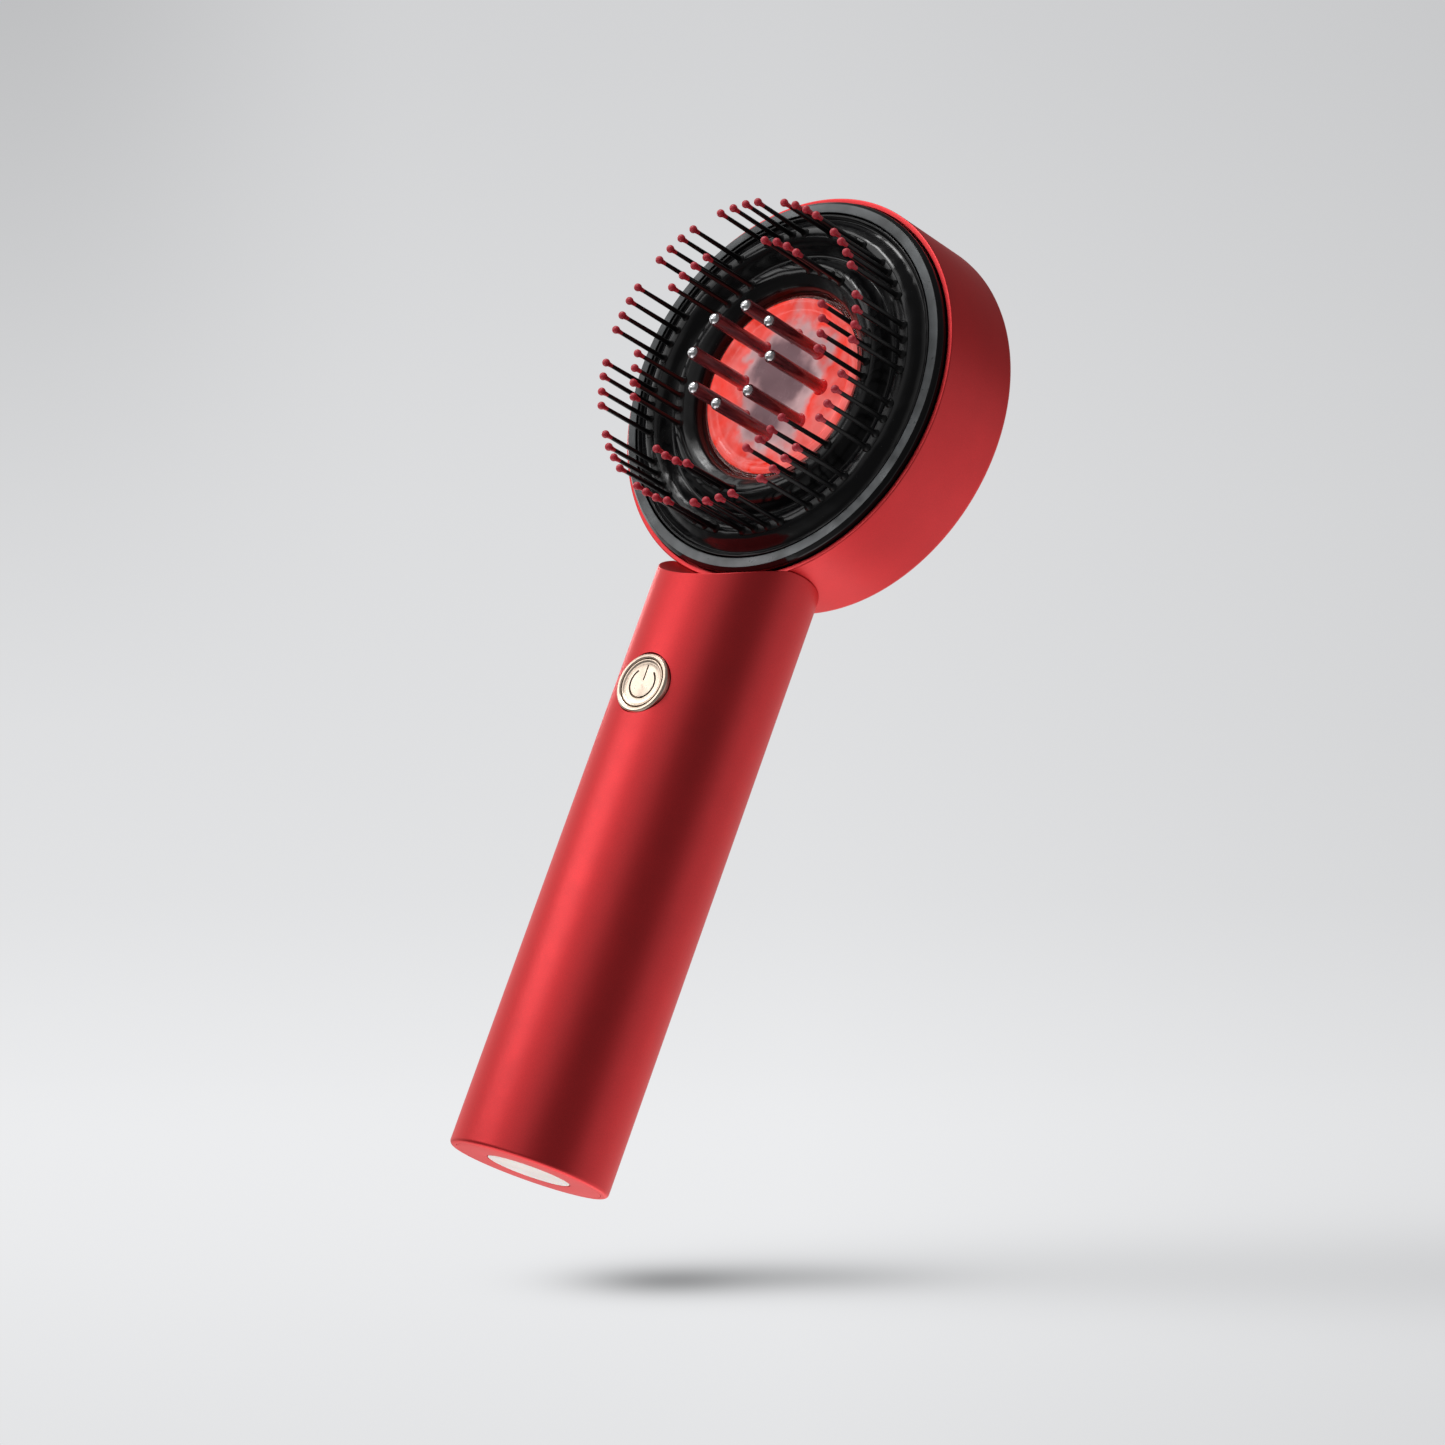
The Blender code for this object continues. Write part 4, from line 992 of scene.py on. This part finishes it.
def bristles(name, node, curve, paint):
    """Pads on a backing ring, with moulded collars and slim tapered pins, and their dipped ball tips."""
    spots = tip_centres(node)
    groups = clusters(spots)
    _, _, low, high = ring_span(node, HEAD)
    ring, ball = groups[0][0], 0.8
    top = curve_at(curve, ring)[0]
    rise = high - ball - top
    mound = flowing([(0.92, -0.3), (0.88, 0.02), (0.74, 0.22), (0.6, 0.5), (0.53, 0.95), (0.5, 1.8)], 2)
    pin = [(0.0, -0.6), (0.92, -0.6), *mound, (0.46, rise * 0.5), (0.41, rise - 1.0), (0.4, rise - 0.5),
           (0.0, rise - 0.5)]
    body, tips = bmesh.new(), bmesh.new()
    add_turned(body, rounded(backing_ring(ring, low))[0], HEAD, MIDDLE_TURN)
    for radius, angles in groups:
        add_pad(body, radius, angles, low + 0.4, curve)
    draw = random.Random(SEED)
    for spot in spots:
        lean = HEAD @ Matrix.Translation(Vector((*spot, top)) * MM) @ small_tilt(draw)
        add_turned(body, pin, lean, PIN_TURN)
        add_turned(tips, dipped_tip(rise, ball), lean, 20)
    pins = new_object(name + "_pins", body, [paint["bristle"]])
    ends = new_object(name + "_tips", tips, [paint["tip"]])
    for piece in (pins, ends):
        belongs(piece, "brush_head", "bristle_black", node)
    return groups


def backing_ring(ring, low):
    """Corners of the flat ring that joins a circle of pads from behind."""
    inner, outer, thick, edge = ring - 1.7, ring + 1.7, 1.0, 0.2
    return [(outer, low + thick, edge), (outer, low, edge), (inner, low, edge), (inner, low + thick, edge)]


def small_tilt(draw):
    """A lean of a fraction of a degree, as moulded pins have."""
    turns = [Matrix.Rotation(math.radians(draw.uniform(-0.35, 0.35)), 4, axis) for axis in "XY"]
    return turns[0] @ turns[1]


def dipped_tip(rise, ball):
    """A drop of coating: a ball on a short sleeve that thins out down the pin."""
    round_part = arc((0.0, rise), ball, 84.0, -56.0, 12)
    sleeve = [(0.5, rise - 0.85), (0.45, rise - 1.3), (0.42, rise - 1.7), (0.0, rise - 1.7)]
    return [(0.0, rise + ball), *round_part, *sleeve]


def base_gasket(paint):
    """The rubber ring under the brush plate."""
    inner, outer, low, high = ring_span("brush_base_ring", HEAD)
    corners = [(outer, high, 0.2), (outer, low, 0.3), (inner, low, 0.3), (inner, high, 0.2)]
    ring = lathe("brush_head_gasket", corners, HEAD, [paint["rubber"]], MIDDLE_TURN)
    belongs(ring, "brush_head", "black_rubber", "brush_base_ring")


# ---------------------------------------------------------------- carried-over CAD nodes

CARRIED = {
    "steel": ("charging_socket", "board_screw_1", "board_screw_2", "tact_switch", "motor_case", "motor_shaft",
              "neck_stud", "neck_nut"),
    "rubber": ("base_cap_seal", "button_plunger"),
    "plastic": ("battery_carrier", "motor_clamp"),
    "board": ("charge_board", "main_board", "light_board"),
    "sleeve": ("battery_cell",),
    "wire": ("battery_lead", "head_lead"),
    "brass": ("eccentric_weight",),
    "led": ("led_1", "led_2", "led_3", "led_4", "led_5", "led_6"),
}


def paint_carried(paint):
    """CAD nodes whose shape stays take a worked material."""
    for key, nodes in CARRIED.items():
        for node in nodes:
            mesh = NODES[node].data
            mesh.materials.clear()
            mesh.materials.append(paint[key])


# ---------------------------------------------------------------- studio

CAMERA_AZIMUTH, CAMERA_ELEVATION, CAMERA_ROLL = 44.07, -13.18, 19.57
CAMERA_DISTANCE, CAMERA_LENS, CAMERA_SENSOR = 0.828, 107.6, 36.0
TARGET_OFFSET = (0.0060, 0.0081, -0.0074)   # from the middle of the CAD box to the middle of the picture

SOFTBOXES = (
    # name, height above the base, azimuth, elevation, distance, width, height, radiance; metres, degrees
    ("key", 0.16, -37.0, 41.0, 0.55, 0.46, 0.42, 2.2),
    ("low_key", -0.02, -36.0, 18.0, 0.5, 0.3, 0.13, 3.2),
    ("top_spark", 0.16, -27.0, 58.0, 0.6, 0.16, 0.12, 14.0),
    ("left_strip", 0.18, -112.0, 12.0, 0.6, 0.05, 0.14, 7.0),
    ("under", 0.0, -136.0, -65.0, 0.3, 0.5, 0.5, 1.3),
)
STUDIO_BASE = 0.16
LOBES = (
    # azimuth, elevation, half width in degrees, radiance added in the middle
    (-130.0, 10.0, 45.0, 0.15),
    (-90.0, 10.0, 45.0, 0.85),
    (2.0, 12.0, 43.0, 0.62),
    (135.0, 1.0, 45.0, 0.54),
    (-175.0, -10.0, 45.0, 0.79),
    (-136.0, -13.0, 30.0, 0.28),
    (160.0, 55.0, 45.0, 0.06),
    (135.0, -45.0, 45.0, 0.32),
    (0.0, -90.0, 50.0, 0.36),
)
# brightness up the picture, from its lower edge at 0 to its upper edge at 1
BACKDROP = ((0.0, 0.77), (0.1, 0.815), (0.2, 0.85), (0.26, 0.835), (0.38, 0.752), (0.65, 0.722), (0.8, 0.694),
            (1.0, 0.64))
BACKDROP_TINT = (0.996, 1.003, 1.019)

FLOOR_DROP = 0.016           # the comb floats this far above the floor
FLOOR_HALF = 3.0             # half the floor's width, in metres
FLOOR_FADE = (0.25, 1.1)     # distance from the comb where the floor starts to fade, and where it is gone
FLOOR_COLOUR = (0.72, 0.725, 0.735)

SHADOW_BEHIND = 0.06         # from the comb back to the sheet that carries its shadow
SHADOW_SHEET = (-0.07, 0.17, -0.155, -0.08)   # left, right, low and high edges of the sheet
SHADOWS = (
    # across, up, half width and half height in mm on the sheet, darkness
    (-14.0, -115.0, 18.0, 3.1, 0.42),
    (14.0, -114.2, 30.0, 3.2, 0.27),
)
# up, start, full, far right, half height at the start and at the far right, darkness
LONG_SHADOW = (-113.0, -44.0, 12.0, 140.0, 3.4, 9.5, 0.13)
SAME_EYE = 0.002             # a viewer within this many metres of the main camera is the main camera


def direction(azimuth, elevation):
    """A unit vector. Azimuth 0 is in front of the comb and 90 is at its right side."""
    a, e = math.radians(azimuth), math.radians(elevation)
    return Vector((math.sin(a) * math.cos(e), -math.cos(a) * math.cos(e), math.sin(e)))


def camera(target):
    """The main camera, aimed at target and rolled."""
    back = direction(CAMERA_AZIMUTH, CAMERA_ELEVATION)
    level_right = Vector((0.0, 0.0, 1.0)).cross(back).normalized()
    level_up = back.cross(level_right)
    roll = math.radians(CAMERA_ROLL)
    up = level_up * math.cos(roll) - level_right * math.sin(roll)
    made = placed("camera", bpy.data.cameras.new("camera"))
    made.data.lens = CAMERA_LENS
    made.data.sensor_width = CAMERA_SENSOR
    made.matrix_world = local_frame(target + back * CAMERA_DISTANCE, up.cross(back), up, back)
    bpy.context.scene.camera = made
    return made


def softbox(name, target, azimuth, elevation, distance, width, height, radiance):
    """A rectangular light that faces the comb. Its brightness is given as radiance."""
    data = bpy.data.lights.new(name, "AREA")
    data.shape = "RECTANGLE"
    data.size, data.size_y = width, height
    data.energy = radiance * width * height * math.pi
    made = placed(name, data)
    away = direction(azimuth, elevation)
    made.location = target + away * distance
    made.rotation_mode = "QUATERNION"
    made.rotation_quaternion = away.to_track_quat("Z", "Y")


def world_light():
    """A pale backdrop for the camera, and a soft uneven studio for everything that reflects."""
    world = bpy.data.worlds.new("studio")
    bpy.context.scene.world = world
    world.use_nodes = True
    tree = world.node_tree
    tree.nodes.clear()
    coordinates = add(tree, "TexCoord")
    level = studio_level(tree, coordinates.outputs["Generated"])
    lit = add(tree, "Background", {"Color": (1.0, 1.0, 1.0, 1.0), "Strength": level})
    shown = backdrop_level(tree, coordinates.outputs["Window"])
    seen = add(tree, "Background", {"Color": (*BACKDROP_TINT, 1.0), "Strength": shown})
    ray = add(tree, "LightPath").outputs["Is Camera Ray"]
    mixed = add(tree, "MixShader", {0: ray, 1: lit.outputs[0], 2: seen.outputs[0]})
    output = tree.nodes.new("ShaderNodeOutputWorld")
    tree.links.new(mixed.outputs[0], output.inputs["Surface"])


def backdrop_level(tree, window):
    """Brightest a fifth of the way up, dimmer above, at the right and in the top left corner."""
    place = add(tree, "SeparateXYZ", {0: window})
    ramp = add(tree, "ValToRGB", {"Fac": place.outputs["Y"]})
    ramp.color_ramp.interpolation = "B_SPLINE"
    stops = ramp.color_ramp.elements
    for index, (height, level) in enumerate(BACKDROP):
        stop = stops[index] if index < 2 else stops.new(height)
        stop.position = height
        stop.color = (level, level, level, 1.0)
    right = spread(tree, place.outputs["X"], 0.55, 1.0, 1.0, 0.9)
    left = spread(tree, place.outputs["X"], 0.0, 0.3, 1.0, 0.0, True)
    corner = math_node(tree, "MULTIPLY", left, spread(tree, place.outputs["Y"], 0.5, 1.0, 0.0, 0.19))
    side = math_node(tree, "SUBTRACT", right, corner)
    return math_node(tree, "MULTIPLY", ramp.outputs["Color"], side)


def studio_level(tree, around):
    """Brightness of the unseen studio by direction: a dim base with broad soft patches."""
    level = STUDIO_BASE
    for azimuth, elevation, width, strength in LOBES:
        facing = measure(tree, "DOT_PRODUCT", around, direction(azimuth, elevation))
        patch = spread(tree, facing, math.cos(math.radians(width)), 1.0, 0.0, strength, True)
        level = math_node(tree, "ADD", level, patch)
    return level


def flat_piece(name, corners, material):
    """A flat sheet that only the camera sees."""
    form = bmesh.new()
    form.faces.new([form.verts.new(corner) for corner in corners])
    made = new_object(name, form, [material])
    made.visible_diffuse = False
    made.visible_glossy = False
    made.visible_transmission = False
    made.visible_shadow = False
    return made


def floor(target):
    """A plain pale floor that is seen only from above, and only by the camera."""
    level = cad_box[0].z - FLOOR_DROP
    corners = [(x, y, level) for x, y in rectangle(-FLOOR_HALF, FLOOR_HALF, -FLOOR_HALF, FLOOR_HALF)]
    sheet = flat_piece("studio_floor", corners, floor_material(target))
    for face in sheet.data.polygons:
        if face.normal.z < 0.0:
            face.flip()


def floor_material(target):
    """Pale and matt near the comb, clear far from it and from below."""
    material, tree, shader = base_material("pale_floor", Roughness=0.75, Base_Color=FLOOR_COLOUR)
    geometry = add(tree, "NewGeometry")
    away = measure(tree, "DISTANCE", geometry.outputs["Position"], target)
    fade = spread(tree, away, *FLOOR_FADE, 0.0, 1.0, True)
    hidden = math_node(tree, "MAXIMUM", fade, geometry.outputs["Backfacing"])
    clear = add(tree, "BsdfTransparent").outputs[0]
    mixed = add(tree, "MixShader", {0: hidden, 1: shader.outputs[0], 2: clear})
    tree.links.new(mixed.outputs[0], tree.nodes["Material Output"].inputs["Surface"])
    return material


def floor_shadow(seen_from, target):
    """The comb's soft shadow far below it, as the main camera sees it. It is clear from any other side."""
    turn = seen_from.matrix_world.to_3x3()
    right, up, back = turn.col[0].copy(), turn.col[1].copy(), turn.col[2].copy()
    place = local_frame(target - back * SHADOW_BEHIND, right, up, back)
    corners = [place @ Vector((x, y, 0.0)) for x, y in rectangle(*SHADOW_SHEET)]
    material, tree, _ = base_material("floor_shadow")
    dark = shadow_depth(tree, add(tree, "SeparateXYZ", {0: place_mm(tree, place)}))
    shown = math_node(tree, "MULTIPLY", dark, seen_by_camera(tree, seen_from))
    sheer = add(tree, "BsdfTransparent", {"Color": math_node(tree, "SUBTRACT", 1.0, shown)})
    tree.links.new(sheer.outputs[0], tree.nodes["Material Output"].inputs["Surface"])
    flat_piece("floor_shadow", corners, material)


def shadow_depth(tree, spot):
    """Darkness on the shadow's sheet: two soft ovals, and a long streak that widens to the right."""
    dark = 0.0
    for across, height, half_width, half_height, darkness in SHADOWS:
        x = math_node(tree, "DIVIDE", math_node(tree, "SUBTRACT", spot.outputs["X"], across), half_width)
        y = math_node(tree, "SUBTRACT", spot.outputs["Y"], height)
        dark = math_node(tree, "ADD", dark, blot(tree, x, y, half_height, darkness))
    height, start, full, end, near, far, darkness = LONG_SHADOW
    strength = spread(tree, spot.outputs["X"], start, full, 0.0, darkness, True)
    wide = spread(tree, spot.outputs["X"], start, end, near, far)
    y = math_node(tree, "SUBTRACT", spot.outputs["Y"], height)
    return math_node(tree, "ADD", dark, blot(tree, 0.0, y, wide, strength))


def blot(tree, across, up, half_height, darkness):
    """A soft bell. Across is already divided by its half width, and up is in millimetres."""
    rise = math_node(tree, "DIVIDE", up, half_height)
    squares = [math_node(tree, "MULTIPLY", side, side) for side in (across, rise)]
    bell = math_node(tree, "EXPONENT", math_node(tree, "MULTIPLY", math_node(tree, "ADD", *squares), -1.0))
    return math_node(tree, "MULTIPLY", bell, darkness)


def seen_by_camera(tree, seen_from):
    """1 where the viewer is the main camera, and 0 for any other viewer."""
    geometry = add(tree, "NewGeometry")
    distance = add(tree, "CameraData").outputs["View Distance"]
    toward = scaled(tree, geometry.outputs["Incoming"], distance)
    eye = vector_node(tree, "ADD", geometry.outputs["Position"], toward)
    away = measure(tree, "DISTANCE", eye, seen_from.matrix_world.translation)
    return math_node(tree, "LESS_THAN", away, SAME_EYE)


def studio():
    """Camera, lights, backdrop, floor and shadow."""
    low, high = cad_box
    target = (low + high) / 2.0 + Vector(TARGET_OFFSET)
    seen_from = camera(target)
    for name, height, *setting in SOFTBOXES:
        softbox(name, Vector((target.x, target.y, height)), *setting)
    world_light()
    floor(target)
    floor_shadow(seen_from, target)


# ---------------------------------------------------------------- the whole comb

def build():
    """Every piece of the comb, from the handle up."""
    paint = make_materials()
    for piece in (handle, base_cap, port_cover, button_bezel, power_button, drum_shell, drum_bezel, chassis,
                  chassis_screws, light_disc, cup, seal, lens, tubes, balls):
        piece(paint)
    curve = flowing(DISH_TOP, 4)
    groups = bristles("outer_bristle", "outer_bristle_ring", curve, paint)
    groups += bristles("inner_bristle", "inner_bristle_ring", curve, paint)
    brush_dish(paint, groups, curve)
    base_gasket(paint)
    paint_carried(paint)


build()
studio()
bpy.context.scene.view_settings.view_transform = "Standard"
